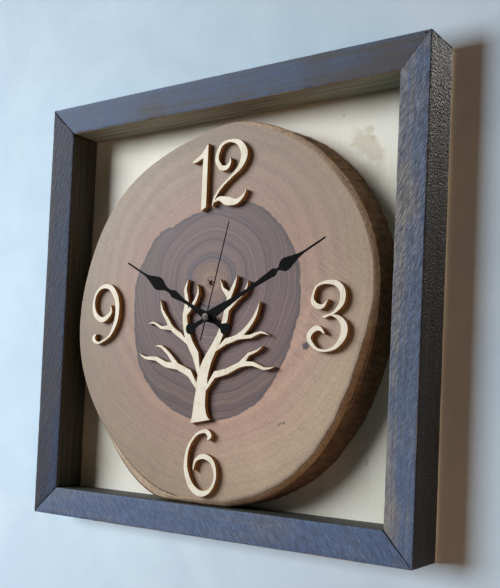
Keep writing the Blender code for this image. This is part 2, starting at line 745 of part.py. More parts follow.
def spade_hand(tail, arm, taper, spade, length):
    """Outline of a spade hand. Its taper fills the length that its arm and its spade leave."""
    near = drawn(arm, HAND_GRID)
    far = [(length - distance, half_width) for distance, half_width in drawn(spade, HAND_GRID)]
    start, end = near[-1][0], far[0][0]
    middle = [(start + share * (end - start), half_width * HAND_GRID) for share, half_width in taper]
    points = tail_bulb(tail) + near + middle + far
    needle = NEEDLE_HALF_WIDTH
    points += [(length - needle, needle), (length, 0.0)]
    return hand_outline(points)


def swell(swells, angle):
    """How far the given swells of the edge stand out in a direction."""
    return sum(reach * max(0.0, math.cos(angle - math.radians(direction))) ** sharpness
               for direction, reach, sharpness in swells)


def slice_reach(angle):
    """Distance from the slice's middle to the edge of its front face."""
    return (slice_radius + SLICE_OVAL * math.cos(2 * angle - math.radians(141))
            + SLICE_LOBES * math.cos(3 * angle - math.radians(123))
            + SLICE_WAVES * math.cos(6 * angle - math.radians(85)) + swell(EDGE_SWELLS, angle))


def slice_flare(angle):
    """How much further the slice reaches at its rear face, most at the lower right."""
    return BARK_SLOPE + swell(BARK_SWELLS, angle)


def slice_ring(depth_share, inset, count=72):
    """Outline of the slice at a share of its thickness from the front."""
    outline = []
    for k in range(count):
        angle = math.tau * k / count
        ripple = BARK_RIPPLE * math.sin(11 * angle + 5 * depth_share) * math.sin(math.pi * depth_share)
        reach = slice_reach(angle) - inset + slice_flare(angle) * depth_share + ripple
        outline.append((reach * math.cos(angle), reach * math.sin(angle)))
    return outline


def lofted(name, rings):
    """Closed solid through outlines of equal length, each given as (outline, out)."""
    shape = bmesh.new()
    loops = [[shape.verts.new((x, -out, z)) for x, z in outline] for outline, out in rings]
    shape.faces.new(loops[0])
    shape.faces.new(loops[-1])
    for rear_ring, front_ring in zip(loops, loops[1:]):
        count = len(rear_ring)
        for k in range(count):
            after = (k + 1) % count
            shape.faces.new((rear_ring[k], rear_ring[after], front_ring[after], front_ring[k]))
    return finished_mesh(name, shape)


def rail_mesh():
    """A top rail between its two mitres, with its outer edge at half a frame side above the middle."""
    def face(inward):
        return RAIL_DEPTH - FACE_FALL * inward / RAIL_FACE

    section = [
        (0, 0), (0, face(0) - RAIL_ARRIS), (RAIL_ARRIS, face(RAIL_ARRIS)),
        (RAIL_FACE - RAIL_ARRIS, face(RAIL_FACE - RAIL_ARRIS)), (RAIL_FACE, face(RAIL_FACE) - RAIL_ARRIS),
        (RAIL_FACE, rebate_depth), (RAIL_FACE - REBATE_WIDTH, rebate_depth), (RAIL_FACE - REBATE_WIDTH, 0),
    ]
    shape = bmesh.new()
    ends = []
    for side in (-1, 1):
        ends.append([shape.verts.new((side * (half_side - inward - MITRE_GAP), -out, half_side - inward))
                     for inward, out in section])
    for end in ends:
        shape.faces.new(end)
    for k in range(len(section)):
        after = (k + 1) % len(section)
        shape.faces.new((ends[0][k], ends[0][after], ends[1][after], ends[1][k]))
    return finished_mesh("frame_rail", shape)


def build_frame(clock, stained_wood, steel):
    """Four rails with their brads. Returns an empty for each side, for what is fixed along it."""
    shared = rail_mesh()
    sides = {}
    rails = {}
    for name, quarter in (("top", 0), ("right", 1), ("bottom", 2), ("left", 3)):
        side = bpy.data.objects.new("side_" + name, None)
        bpy.context.scene.collection.objects.link(side)
        side.parent = clock
        side.rotation_euler = (0, quarter * math.pi / 2, 0)
        sides[name] = side
        rails[name] = add_piece("frame_rail_" + name, shared, stained_wood, side)

    head_end = BRAD_HEAD_HEIGHT
    tip = 2 * BRAD_RADIUS
    brad = turned("brad", [
        (0, 0), (BRAD_HEAD_RADIUS, 0), (BRAD_HEAD_RADIUS, head_end * 0.4), (BRAD_RADIUS, head_end),
        (BRAD_RADIUS, BRAD_LENGTH - tip), (0, BRAD_LENGTH)], 10)
    head_hole = BRAD_HEAD_RADIUS + HOLE_PLAY
    shank_hole = BRAD_RADIUS + HOLE_PLAY
    hole = turned("brad_hole", [
        (0, -PAST), (head_hole, -PAST), (head_hole, head_end + HOLE_PLAY),
        (shank_hole, head_end + HOLE_PLAY), (shank_hole, BRAD_LENGTH + HOLE_PLAY),
        (0, BRAD_LENGTH + HOLE_PLAY)], 10)
    corner = half_side - RAIL_FACE / 2
    for end, downward in (("top", 1), ("bottom", -1)):
        for hand, across in (("left", -1), ("right", 1)):
            place = (across * corner, RAIL_DEPTH / 2, downward * (half_side - BRAD_SINK))
            turn = (downward * math.pi / 2, 0, 0)
            add_piece("mitre_brad_" + end + "_" + hand, brad, steel, clock, place, turn)
            cutter = add_tool("mitre_brad_" + end + "_" + hand + "_cutter", hole, clock, place, turn)
            cut(rails[end], [cutter])
            cut(rails[hand], [cutter])
    return sides, rails


def build_hanger(clock, top_rail, zinc, steel):
    """Sawtooth plate let into the back of the top rail, over a pocket for the hook."""
    plate_top = hook_height + HANGER_HEIGHT
    pocket_top = plate_top + GAP
    pocket_bottom = half_side - RAIL_FACE + REBATE_WIDTH - PAST
    half_width = HANGER_WIDTH / 2
    seat = box("hanger_seat", -half_width - GAP, half_width + GAP, -PAST, hanger_front + GAP,
               pocket_bottom, pocket_top)
    pocket_half = HANGER_POCKET_WIDTH / 2
    pocket = box("hanger_pocket", -pocket_half, pocket_half, -PAST, HANGER_POCKET_DEPTH,
                 pocket_bottom, pocket_top)
    cut(top_rail, [add_tool("hanger_seat_cutter", seat, clock),
                   add_tool("hanger_pocket_cutter", pocket, clock)])

    teeth_half = HANGER_TEETH * HANGER_TOOTH_PITCH / 2
    tooth_tip = hook_height - HANGER_TOOTH_HEIGHT
    edge = [(-half_width, tooth_tip), (-teeth_half, tooth_tip)]
    for k in range(HANGER_TEETH):
        notch = -teeth_half + (k + 0.5) * HANGER_TOOTH_PITCH
        edge += [(notch, hook_height), (notch + HANGER_TOOTH_PITCH / 2, tooth_tip)]
    edge += [(half_width, tooth_tip), (half_width, plate_top), (-half_width, plate_top)]
    plate_mesh = prism("sawtooth_hanger", edge, hanger_rear, hanger_front)
    plate = add_piece("sawtooth_hanger", plate_mesh, zinc, clock)

    pin_rear = hanger_rear - GAP - HANGER_PIN_HEAD_HEIGHT
    head_end = HANGER_PIN_HEAD_HEIGHT
    shank = HANGER_PIN_RADIUS
    pin = turned("hanger_pin", [
        (0, 0), (HANGER_PIN_HEAD_RADIUS, 0), (HANGER_PIN_HEAD_RADIUS, head_end), (shank, head_end),
        (shank, HANGER_PIN_LENGTH - shank), (0, HANGER_PIN_LENGTH)], 10)
    shank_hole = shank + HOLE_PLAY
    hole_end = HANGER_PIN_LENGTH + HOLE_PLAY
    hole = turned("hanger_pin_hole", [
        (0, head_end + GAP / 2), (shank_hole, head_end + GAP / 2), (shank_hole, hole_end),
        (0, hole_end)], 10)
    for name, across in (("left", -1), ("right", 1)):
        place = (across * (half_width - HANGER_PIN_INSET), pin_rear, (tooth_tip + plate_top) / 2)
        add_piece("hanger_pin_" + name, pin, steel, clock, place)
        cutter = add_tool("hanger_pin_" + name + "_cutter", hole, clock, place)
        cut(plate, [cutter])
        cut(top_rail, [cutter])


def build_panel(clock, dial, sides, rails, plywood, steel):
    """Backing panel, screwed into the rebate, with a window for the movement."""
    edge = half_side - RAIL_FACE + REBATE_WIDTH - GAP
    sheet = box("backing_panel", -edge, edge, panel_rear, panel_front, -edge, edge)
    panel = add_piece("backing_panel", sheet, plywood, clock)
    window = box("movement_window", -case_half - WINDOW_PLAY, case_half + WINDOW_PLAY, panel_rear - PAST,
                 panel_front + PAST, case_bottom - WINDOW_PLAY, case_top + WINDOW_PLAY)
    cut(panel, [add_tool("movement_window_cutter", window, dial)])

    sizes = (PANEL_SCREW_LENGTH, PANEL_SCREW_RADIUS, PANEL_SCREW_HEAD_RADIUS, PANEL_SCREW_HEAD_HEIGHT)
    screw = screw_mesh("panel_screw", *sizes)
    hole = turned("panel_screw_hole", screw_profile(*sizes, play=HOLE_PLAY), 12)
    land_middle = half_side - RAIL_FACE + REBATE_WIDTH / 2
    for name, side in sides.items():
        for number, across in ((1, -1), (2, 1)):
            place = (across * PANEL_SCREW_SPACING / 2, panel_rear, land_middle)
            label = "panel_screw_" + name + "_" + str(number)
            add_piece(label, screw, steel, side, place)
            cutter = add_tool(label + "_cutter", hole, side, place)
            cut(panel, [cutter])
            cut(rails[name], [cutter])
    return panel


def build_slice(middle, dial, panel, log_wood, steel):
    """Slice of a log with its live edge, pocketed behind for the movement."""
    rings = [
        (slice_ring(1.0, 0.0), slice_rear),
        (slice_ring(0.8, 0.0), slice_rear + 0.2 * SLICE_THICKNESS),
        (slice_ring(0.55, 0.0), slice_rear + 0.45 * SLICE_THICKNESS),
        (slice_ring(0.3, 0.0), slice_rear + 0.7 * SLICE_THICKNESS),
        (slice_ring(EDGE_CHAMFER / SLICE_THICKNESS, 0.0), slice_front - EDGE_CHAMFER),
        (slice_ring(0.0, EDGE_CHAMFER), slice_front),
    ]
    log = add_piece("wood_slice", lofted("wood_slice", rings), log_wood, middle)
    pocket = box("movement_pocket", -case_half - POCKET_PLAY, case_half + POCKET_PLAY, slice_rear - PAST,
                 pocket_floor, case_bottom - POCKET_PLAY, case_top + POCKET_PLAY)
    bore = prism("collar_bore", circle(COLLAR_RADIUS + GAP, 20), pocket_floor - PAST, slice_front + PAST)
    cut(log, [add_tool("movement_pocket_cutter", pocket, dial), add_tool("collar_bore_cutter", bore, dial)])

    sizes = (SLICE_SCREW_LENGTH, SLICE_SCREW_RADIUS, SLICE_SCREW_HEAD_RADIUS, SLICE_SCREW_HEAD_HEIGHT)
    screw = screw_mesh("slice_screw", *sizes)
    hole = turned("slice_screw_hole", screw_profile(*sizes, play=HOLE_PLAY), 12)
    for up_name, up in (("upper", 1), ("lower", -1)):
        for across_name, across in (("left", -1), ("right", 1)):
            place = (across * SLICE_SCREW_ACROSS / 2, panel_rear, up * SLICE_SCREW_UP / 2)
            label = "slice_screw_" + up_name + "_" + across_name
            add_piece(label, screw, steel, dial, place)
            cutter = add_tool(label + "_cutter", hole, dial, place)
            cut(panel, [cutter])
            cut(log, [cutter])


def build_numerals(middle, cream_ply):
    """Numerals and tree cut from thin plywood, glued to the slice."""
    reach = slice_radius

    def plain(name, outline, place):
        return add_piece(name, prism(name, outline, ply_rear, ply_front), cream_ply, middle, place)

    plain("numeral_one", drawn(ONE_OUTLINE, NUMERAL_GRID), (ONE_SHIFT, 0, reach - ONE_INSET))
    two_place = (TWO_SHIFT, 0, reach - TWO_INSET)
    two = plain("numeral_two", stroke(TWO_CURL), two_place)
    foot = prism("numeral_two_foot", stroke(TWO_FOOT), ply_rear, ply_front)
    join(two, [add_tool("numeral_two_foot", foot, middle, two_place)])
    three_place = (reach - THREE_INSET, 0, THREE_SHIFT)
    three = plain("numeral_three", stroke(THREE_TOP), three_place)
    bowl = prism("numeral_three_bowl", stroke(THREE_BOWL), ply_rear, ply_front)
    join(three, [add_tool("numeral_three_bowl", bowl, middle, three_place)])
    plain("numeral_six", stroke(SIX_STROKE), (SIX_SHIFT, 0, SIX_INSET - reach))
    plain("numeral_nine", stroke(NINE_STROKE), (NINE_INSET - reach, 0, NINE_SHIFT))
    tree = drawn(limb_outline(TREE), TREE_GRID)
    plain("tree_emblem", tree, (TREE_SHIFT, 0, SIX_INSET - reach + TREE_ABOVE_SIX))


def build_hands(dial, black, silver):
    """Three hands on their tubes, the nut that holds the minute hand, and the domed boss."""
    def turn(degrees):
        return (0, math.radians(degrees), 0)

    hour_bore = circle(HOUR_TUBE_RADIUS + PRESS_PLAY, 16)
    hour_collet = circle(HOUR_TUBE_RADIUS + COLLET_WALL, 16)
    hour_blade = spade_hand(HOUR_TAIL, HOUR_ARM, HOUR_TAPER, HOUR_SPADE, HOUR_HAND_LENGTH)
    hour = layered("hour_hand", [
        (hour_collet, hour_bore, hour_hand_rear - COLLET_HEIGHT, hour_hand_rear),
        (hour_blade, hour_bore, hour_hand_rear, hour_hand_front)])
    add_piece("hour_hand", hour, black, dial, turn=turn(HOUR_HAND_ANGLE))

    minute_bore = circle(MINUTE_TUBE_RADIUS + PRESS_PLAY, 16)
    minute_collet = circle(MINUTE_TUBE_RADIUS + COLLET_WALL, 16)
    minute_blade = spade_hand(MINUTE_TAIL, MINUTE_ARM, MINUTE_TAPER, MINUTE_SPADE, MINUTE_HAND_LENGTH)
    minute = layered("minute_hand", [
        (minute_collet, minute_bore, minute_hand_rear - COLLET_HEIGHT, minute_hand_rear),
        (minute_blade, minute_bore, minute_hand_rear, minute_hand_front)])
    add_piece("minute_hand", minute, black, dial, turn=turn(MINUTE_HAND_ANGLE))
    nut = layered("minute_nut", [(circle(NUT_RADIUS, 6), minute_bore, nut_rear, nut_front)])
    add_piece("minute_nut", nut, silver, dial)

    hub = SECOND_HUB_RADIUS
    narrow = SECOND_HAND_HALF_WIDTH
    hub_points = []
    for degrees in range(-75, 76, 15):
        angle = math.radians(degrees)
        hub_points.append((hub * math.sin(angle), hub * math.cos(angle)))
    needle = ([(-SECOND_HAND_TAIL, narrow), (-hub, narrow)] + hub_points
              + [(hub, narrow), (SECOND_HAND_LENGTH, narrow)])
    second_bore = circle(ARBOR_RADIUS + PRESS_PLAY, 12)
    second = layered("second_hand", [
        (hand_outline(needle), second_bore, second_hand_rear, second_hand_front)])
    add_piece("second_hand", second, black, dial, turn=turn(SECOND_HAND_ANGLE))

    dome = [(0, boss_front)]
    for degrees in (25, 50, 75):
        angle = math.radians(degrees)
        dome.append((BOSS_RADIUS * math.sin(angle),
                     boss_rear + BOSS_HEIGHT * (0.25 + 0.75 * math.cos(angle))))
    dome += [(BOSS_RADIUS, boss_rear + 0.25 * BOSS_HEIGHT), (BOSS_RADIUS, boss_rear),
             (ARBOR_RADIUS + PRESS_PLAY, boss_rear), (ARBOR_RADIUS + PRESS_PLAY, boss_rear + BOSS_HEIGHT / 2),
             (0, boss_rear + BOSS_HEIGHT / 2)]
    add_piece("second_hand_boss", turned("second_hand_boss", dome, 20), silver, dial)


def arbors():
    """Where each arbor stands, as (x, z) from the dial axis."""
    minute = polar(ARBOR_SPACING, MINUTE_ANGLE)
    return {
        "centre": (0.0, 0.0),
        "intermediate": intermediate_place,
        "rotor": rotor_place,
        "third": polar(ARBOR_SPACING, THIRD_ANGLE),
        "minute": minute,
        "setting": polar(ARBOR_SPACING, SETTING_ANGLE, minute),
    }


def build_case(dial, black_plastic, foam):
    """Front shell of the movement with its threaded collar and posts, the rear cover and the pad."""
    at = arbors()
    shell = box("movement_case", -case_half, case_half, case_rear, case_front, case_bottom, case_top)
    case = add_piece("movement_case", shell, black_plastic, dial)
    hollows = [
        ("gear_room", -room_half, room_half, case_rear - PAST, case_floor, room_bottom, room_top),
        ("battery_bay", -room_half, room_half, case_rear - PAST, case_floor, bay_bottom, bay_top),
        ("divider_end", -room_half, room_half, case_rear - PAST, cover_rear, bay_top - BITE,
         room_bottom + BITE),
    ]
    notch_in = room_half - CONTACT_WALL_GAP - CONTACT_THICKNESS - GAP
    for name, x_low, x_high in (("left", -room_half, -notch_in), ("right", notch_in, room_half)):
        hollows.append(("divider_notch_" + name, x_low, x_high, contact_rear - GAP, case_floor,
                        bay_top - BITE, room_bottom + BITE))
    cut(case, [add_tool(h[0] + "_cutter", box(h[0], *h[1:]), dial) for h in hollows])

    posts = [("collar", COLLAR_RADIUS, (0, 0), case_front - BITE, collar_front, 20),
             ("minute_post", MINUTE_POST_RADIUS, at["minute"], level(4) - PINION_OVERRUN,
              case_floor + BITE, 12)]
    inner_half = room_half - CORNER_POST_INSET
    for name, across, up in (("lower_left", -inner_half, room_bottom + CORNER_POST_RADIUS + GAP),
                             ("lower_right", inner_half, room_bottom + CORNER_POST_RADIUS + GAP),
                             ("upper_left", -inner_half, room_top - CORNER_POST_RADIUS - GAP),
                             ("upper_right", inner_half, room_top - CORNER_POST_RADIUS - GAP)):
        posts.append(("corner_post_" + name, CORNER_POST_RADIUS, (across, up), cover_front + GAP,
                      case_floor + BITE, 8))
    for name, place in stator_posts().items():
        posts.append(("stator_post_" + name, POST_RADIUS, place, stator_rear - GAP, case_floor + BITE, 10))
    for name, across in (("left", -1), ("right", 1)):
        place = (across * BOARD_POST_SPACING / 2, board_middle)
        posts.append(("board_post_" + name, POST_RADIUS, place, board_front + GAP, case_floor + BITE, 8))
    join(case, [add_tool(name, prism(name, circle(radius, sides), rear, front), dial, (place[0], 0, place[1]))
                for name, radius, place, rear, front, sides in posts])

    way = circle(HOUR_TUBE_RADIUS + RUNNING_PLAY, 16)
    bore = prism("collar_way", way, case_floor - PAST, collar_front + PAST)
    cut(case, [add_tool("collar_way_cutter", bore, dial)])
    for name in ("third", "intermediate", "rotor", "setting"):
        pivot = prism(name + "_pivot", circle(pivot_radius, 10), case_floor - PAST, arbor_front + GAP)
        cut(case, [add_tool(name + "_pivot_cutter", pivot, dial, (at[name][0], 0, at[name][1]))])

    lid = box("movement_cover", -room_half + COVER_PLAY, room_half - COVER_PLAY, cover_rear, cover_front,
              room_bottom + COVER_PLAY, room_top - COVER_PLAY)
    cover = add_piece("movement_cover", lid, black_plastic, dial)
    for name in ("centre", "third", "intermediate", "rotor", "setting"):
        radius = KNOB_ARBOR_RADIUS + RUNNING_PLAY if name == "setting" else pivot_radius
        hole = prism(name + "_hole", circle(radius, 10), cover_rear - PAST, cover_front + PAST)
        cut(cover, [add_tool(name + "_hole_cutter", hole, dial, (at[name][0], 0, at[name][1]))])

    pad = layered("adhesive_pad", [(rectangle(-PAD_SIDE / 2, PAD_SIDE / 2, -PAD_SIDE / 2, PAD_SIDE / 2),
                                    circle(COLLAR_RADIUS + GAP, 20), pad_rear, pad_front)])
    add_piece("adhesive_pad", pad, foam, dial)


def stator_posts():
    """Two posts that pass through the stator and the ends of the coil core."""
    x = rotor_place[0]
    return {"lower": (x, stator_low + CORE_TAB_HEIGHT / 2), "upper": (x, upper_post_z)}


def build_battery(dial, battery_wrap, nickel):
    """One cell across the foot of the case, with a contact strip up each side wall."""
    end = BATTERY_LENGTH / 2
    rim = BATTERY_RIM
    profile = [
        (0, -end), (BATTERY_RADIUS - 2 * rim, -end), (BATTERY_RADIUS - 2 * rim, -end + rim / 2),
        (BATTERY_RADIUS - rim, -end + rim / 2), (BATTERY_RADIUS, -end + 1.5 * rim),
        (BATTERY_RADIUS, end - 1.5 * rim), (BATTERY_RADIUS - rim, end - rim / 2),
        (NUB_RADIUS + rim, end - rim / 2), (NUB_RADIUS, end), (NUB_RADIUS, end + NUB_LENGTH),
        (0, end + NUB_LENGTH)]
    add_piece("battery", turned("battery", profile, 24), battery_wrap, dial,
              (-NUB_LENGTH / 2, battery_out, battery_z), (0, 0, math.pi / 2))

    outside = room_half - CONTACT_WALL_GAP
    inside = outside - CONTACT_THICKNESS
    strip_front = case_floor - BAY_PLAY
    pad_low = battery_z - CONTACT_PAD_HEIGHT / 2
    strip_top = board_low + CONTACT_TAB_HEIGHT + GAP
    dimple_height = inside - (bay_length / 2 - CONTACT_SPACE) - GAP
    for name, mirror in (("negative", -1), ("positive", 1)):
        edges = sorted((mirror * inside, mirror * outside))
        contact = add_piece("battery_contact_" + name, box("battery_contact_" + name, *edges,
                            strip_front - CONTACT_PAD_DEPTH, strip_front, pad_low,
                            pad_low + CONTACT_PAD_HEIGHT), nickel, dial)
        strip = box("contact_strip", *edges, contact_rear, strip_front, pad_low + BITE, strip_top)
        reach = sorted((mirror * (inside - CONTACT_TAB_LENGTH), mirror * (outside - CONTACT_THICKNESS / 2)))
        tab = box("contact_tab", *reach, contact_rear, contact_rear + CONTACT_THICKNESS,
                  strip_top - CONTACT_TAB_HEIGHT, strip_top)
        dimple = turned("contact_dimple", [
            (0, -CONTACT_THICKNESS / 2), (CONTACT_DIMPLE_RADIUS, -CONTACT_THICKNESS / 2),
            (CONTACT_DIMPLE_RADIUS / 2, dimple_height), (0, dimple_height)], 10)
        join(contact, [
            add_tool("contact_strip_" + name, strip, dial), add_tool("contact_tab_" + name, tab, dial),
            add_tool("contact_dimple_" + name, dimple, dial, (mirror * inside, battery_out, battery_z),
                     (0, 0, mirror * -math.pi / 2))])


def build_motor(dial, steel, white_plastic, copper):
    """Stator plate, coil core, bobbin and winding of the stepping motor."""
    x, z = rotor_place
    low, high = stator_low, stator_high
    plate = box("stator", x - STATOR_HALF_WIDTH, x + STATOR_HALF_WIDTH, stator_rear, stator_front, low, high)
    stator = add_piece("stator", plate, steel, dial)
    bar_low, bar_high = coil_x - CORE_BAR_WIDTH / 2, coil_x + CORE_BAR_WIDTH / 2
    tab_low = x - STATOR_HALF_WIDTH + BITE
    outline = [
        (tab_low, low), (bar_high, low), (bar_high, high), (tab_low, high), (tab_low, high - CORE_TAB_HEIGHT),
        (bar_low, high - CORE_TAB_HEIGHT), (bar_low, low + CORE_TAB_HEIGHT), (tab_low, low + CORE_TAB_HEIGHT)]
    core = add_piece("coil_core", prism("coil_core", outline, core_rear, core_front), steel, dial)
    hole = prism("rotor_hole", circle(STATOR_HOLE_RADIUS, 20), stator_rear - PAST, stator_front + PAST)
    cut(stator, [add_tool("rotor_hole_cutter", hole, dial, (x, 0, z))])
    for name, place in stator_posts().items():
        way = circle(POST_RADIUS + HOLE_PLAY, 10)
        hole = prism("stator_post_hole", way, stator_rear - PAST, core_front + PAST)
        cutter = add_tool("stator_post_hole_" + name, hole, dial, (place[0], 0, place[1]))
        cut(stator, [cutter])
        cut(core, [cutter])

    core_middle = (core_rear + core_front) / 2
    coil_z = (low + high) / 2
    end = BOBBIN_LENGTH / 2
    inside = end - BOBBIN_FLANGE
    rim = COIL_FLANGE_RADIUS
    reel = turned("coil_bobbin", [
        (0, -end), (rim, -end), (rim, -inside), (BOBBIN_RADIUS, -inside), (BOBBIN_RADIUS, inside),
        (rim, inside), (rim, end), (0, end)], 16)
    upright = (math.pi / 2, 0, 0)
    coil_place = (coil_x, core_middle, coil_z)
    bobbin = add_piece("coil_bobbin", reel, white_plastic, dial, coil_place, upright)
    play = BOBBIN_HOLE_PLAY
    way = box("bobbin_way", bar_low - play, bar_high + play, core_rear - play, core_front + play,
              coil_z - end - PAST, coil_z + end + PAST)
    cut(bobbin, [add_tool("bobbin_way_cutter", way, dial)])
    inner = BOBBIN_RADIUS + PRESS_PLAY
    half = inside - PRESS_PLAY
    wound = [(inner, -half), (COIL_RADIUS, -half), (COIL_RADIUS, half), (inner, half)]
    winding = turned("coil_winding", wound, 16, ring=True)
    add_piece("coil_winding", winding, copper, dial, coil_place, upright)


def build_board(dial, green_board, black_plastic, nickel):
    """Circuit board across the top of the gear room, with its chip and quartz crystal."""
    board = box("circuit_board", -BOARD_HALF_WIDTH, BOARD_HALF_WIDTH, board_rear, board_front,
                board_low, board_high)
    add_piece("circuit_board", board, green_board, dial)
    seat = board_rear - GAP
    chip = turned("circuit_chip", [
        (0, seat), (CHIP_RADIUS, seat), (CHIP_RADIUS * 0.8, seat - CHIP_HEIGHT * 0.7),
        (0, seat - CHIP_HEIGHT)], 12)
    add_piece("circuit_chip", chip, black_plastic, dial, (-BOARD_HALF_WIDTH / 3, 0, board_middle))
    crystal = turned("quartz_crystal", [
        (0, 0), (CRYSTAL_RADIUS, 0), (CRYSTAL_RADIUS, CRYSTAL_LENGTH - CRYSTAL_RADIUS / 2),
        (CRYSTAL_RADIUS / 2, CRYSTAL_LENGTH), (0, CRYSTAL_LENGTH)], 12)
    add_piece("quartz_crystal", crystal, nickel, dial,
              (BOARD_HALF_WIDTH / 3, seat - CRYSTAL_RADIUS, board_middle), (0, 0, -math.pi / 2))


def build_train(dial, white_plastic, brass, black_plastic):
    """Every wheel with its pinion and arbor, in mesh with its mates."""
    at = arbors()
    arbor = circle(ARBOR_RADIUS, 10)
    thickness = WHEEL_THICKNESS
    over = PINION_OVERRUN

    def add_wheel(name, layers, place, finish=white_plastic):
        add_piece(name, layered(name, layers), finish, dial, (place[0], 0, place[1]))

    second_start = 0.0
    second_module = module_for(ARBOR_SPACING, SECOND_TEETH, INTERMEDIATE_PINION)
    third_module = module_for(ARBOR_SPACING, SECOND_PINION, THIRD_TEETH)
    second_wheel = gear_outline(SECOND_TEETH, second_module, second_start)
    second_pinion = gear_outline(SECOND_PINION, third_module, second_start)
    add_wheel("second_wheel", [
        (arbor, None, arbor_rear, level(0)), (second_wheel, None, level(0), level(0) + thickness),
        (second_pinion, None, level(0) + thickness, level(1) + thickness + over),
        (arbor, None, level(1) + thickness + over, boss_rear + BOSS_HEIGHT / 2 - HUB_GAP)], at["centre"])

    direction = math.radians(INTERMEDIATE_ANGLE)
    intermediate_start = meshed_start(SECOND_TEETH, second_start, direction, INTERMEDIATE_PINION)
    rotor_module = module_for(ROTOR_SPACING, INTERMEDIATE_TEETH, ROTOR_PINION)
    intermediate_pinion = gear_outline(INTERMEDIATE_PINION, second_module, intermediate_start)
    intermediate_wheel = gear_outline(INTERMEDIATE_TEETH, rotor_module, intermediate_start)
    add_wheel("intermediate_wheel", [
        (arbor, None, arbor_rear, level(0) - over),
        (intermediate_pinion, None, level(0) - over, level(0) + thickness + over),
        (arbor, None, level(0) + thickness + over, level(3)),
        (intermediate_wheel, None, level(3), level(3) + thickness),
        (arbor, None, level(3) + thickness, arbor_front)], at["intermediate"])

    direction = math.radians(ROTOR_ANGLE)
    rotor_start = meshed_start(INTERMEDIATE_TEETH, intermediate_start, direction, ROTOR_PINION)
    magnet_rear, magnet_front = stator_rear - MAGNET_OVERHANG, stator_front + MAGNET_OVERHANG
    rotor_pinion = gear_outline(ROTOR_PINION, rotor_module, rotor_start)
    add_wheel("rotor", [
        (arbor, None, arbor_rear, magnet_rear),
        (circle(MAGNET_RADIUS, 20), None, magnet_rear, magnet_front),
        (arbor, None, magnet_front, level(3) - over),
        (rotor_pinion, None, level(3) - over, level(3) + thickness + over),
        (arbor, None, level(3) + thickness + over, arbor_front)], at["rotor"])

    direction = math.radians(THIRD_ANGLE)
    third_start = meshed_start(SECOND_PINION, second_start, direction, THIRD_TEETH)
    centre_module = module_for(ARBOR_SPACING, THIRD_PINION, CENTRE_TEETH)
    third_wheel = gear_outline(THIRD_TEETH, third_module, third_start)
    third_pinion = gear_outline(THIRD_PINION, centre_module, third_start)
    add_wheel("third_wheel", [
        (arbor, None, arbor_rear, level(1)),
        (third_wheel, None, level(1), level(1) + thickness),
        (third_pinion, None, level(1) + thickness, level(2) + thickness + over),
        (arbor, None, level(2) + thickness + over, arbor_front)], at["third"])

    centre_start = meshed_start(THIRD_PINION, third_start, direction + math.pi, CENTRE_TEETH)
    minute_module = module_for(ARBOR_SPACING, CANNON_PINION, MINUTE_TEETH)
    minute_bore = circle(pivot_radius, 12)
    minute_tube = circle(MINUTE_TUBE_RADIUS, 16)
    centre_wheel = gear_outline(CENTRE_TEETH, centre_module, centre_start)
    cannon_pinion = gear_outline(CANNON_PINION, minute_module, centre_start)
    add_wheel("centre_wheel", [
        (centre_wheel, minute_bore, level(2), level(2) + thickness),
        (minute_tube, minute_bore, level(2) + thickness, level(4) - over),
        (cannon_pinion, minute_bore, level(4) - over, level(4) + thickness + over),
        (minute_tube, minute_bore, level(4) + thickness + over, nut_front - HUB_GAP)], at["centre"], brass)

    direction = math.radians(MINUTE_ANGLE)
    minute_start = meshed_start(CANNON_PINION, centre_start, direction, MINUTE_TEETH)
    hour_module = module_for(ARBOR_SPACING, MINUTE_PINION, HOUR_TEETH)
    post_bore = circle(MINUTE_POST_RADIUS + RUNNING_PLAY, 12)
    minute_wheel = gear_outline(MINUTE_TEETH, minute_module, minute_start)
    minute_pinion = gear_outline(MINUTE_PINION, hour_module, minute_start)
    add_wheel("minute_wheel", [
        (minute_wheel, post_bore, level(4), level(4) + thickness),
        (minute_pinion, post_bore, level(4) + thickness, level(5) + thickness + over)], at["minute"])

    hour_start = meshed_start(MINUTE_PINION, minute_start, direction + math.pi, HOUR_TEETH)
    hour_bore = circle(MINUTE_TUBE_RADIUS + RUNNING_PLAY, 16)
    hour_wheel = gear_outline(HOUR_TEETH, hour_module, hour_start)
    hour_tube = circle(HOUR_TUBE_RADIUS, 16)
    add_wheel("hour_wheel", [
        (hour_wheel, hour_bore, level(5), level(5) + thickness),
        (hour_tube, hour_bore, level(5) + thickness, hour_hand_front - HUB_GAP)], at["centre"])

    direction = math.radians(SETTING_ANGLE)
    setting_start = meshed_start(MINUTE_TEETH, minute_start, direction, SETTING_PINION)
    setting_pinion = gear_outline(SETTING_PINION, minute_module, setting_start)
    knob_rear = cover_rear - GAP - KNOB_THICKNESS
    knob = []
    for k in range(2 * KNOB_RIDGES):
        radius = KNOB_RADIUS - (KNOB_GROOVE if k % 2 else 0.0)
        knob.append(polar(radius, 180 * k / KNOB_RIDGES))
    add_wheel("setting_knob", [
        (knob, None, knob_rear, cover_rear - GAP),
        (circle(KNOB_ARBOR_RADIUS, 12), None, cover_rear - GAP, level(4) - over),
        (setting_pinion, None, level(4) - over, level(4) + thickness + over),
        (arbor, None, level(4) + thickness + over, arbor_front)], at["setting"], black_plastic)


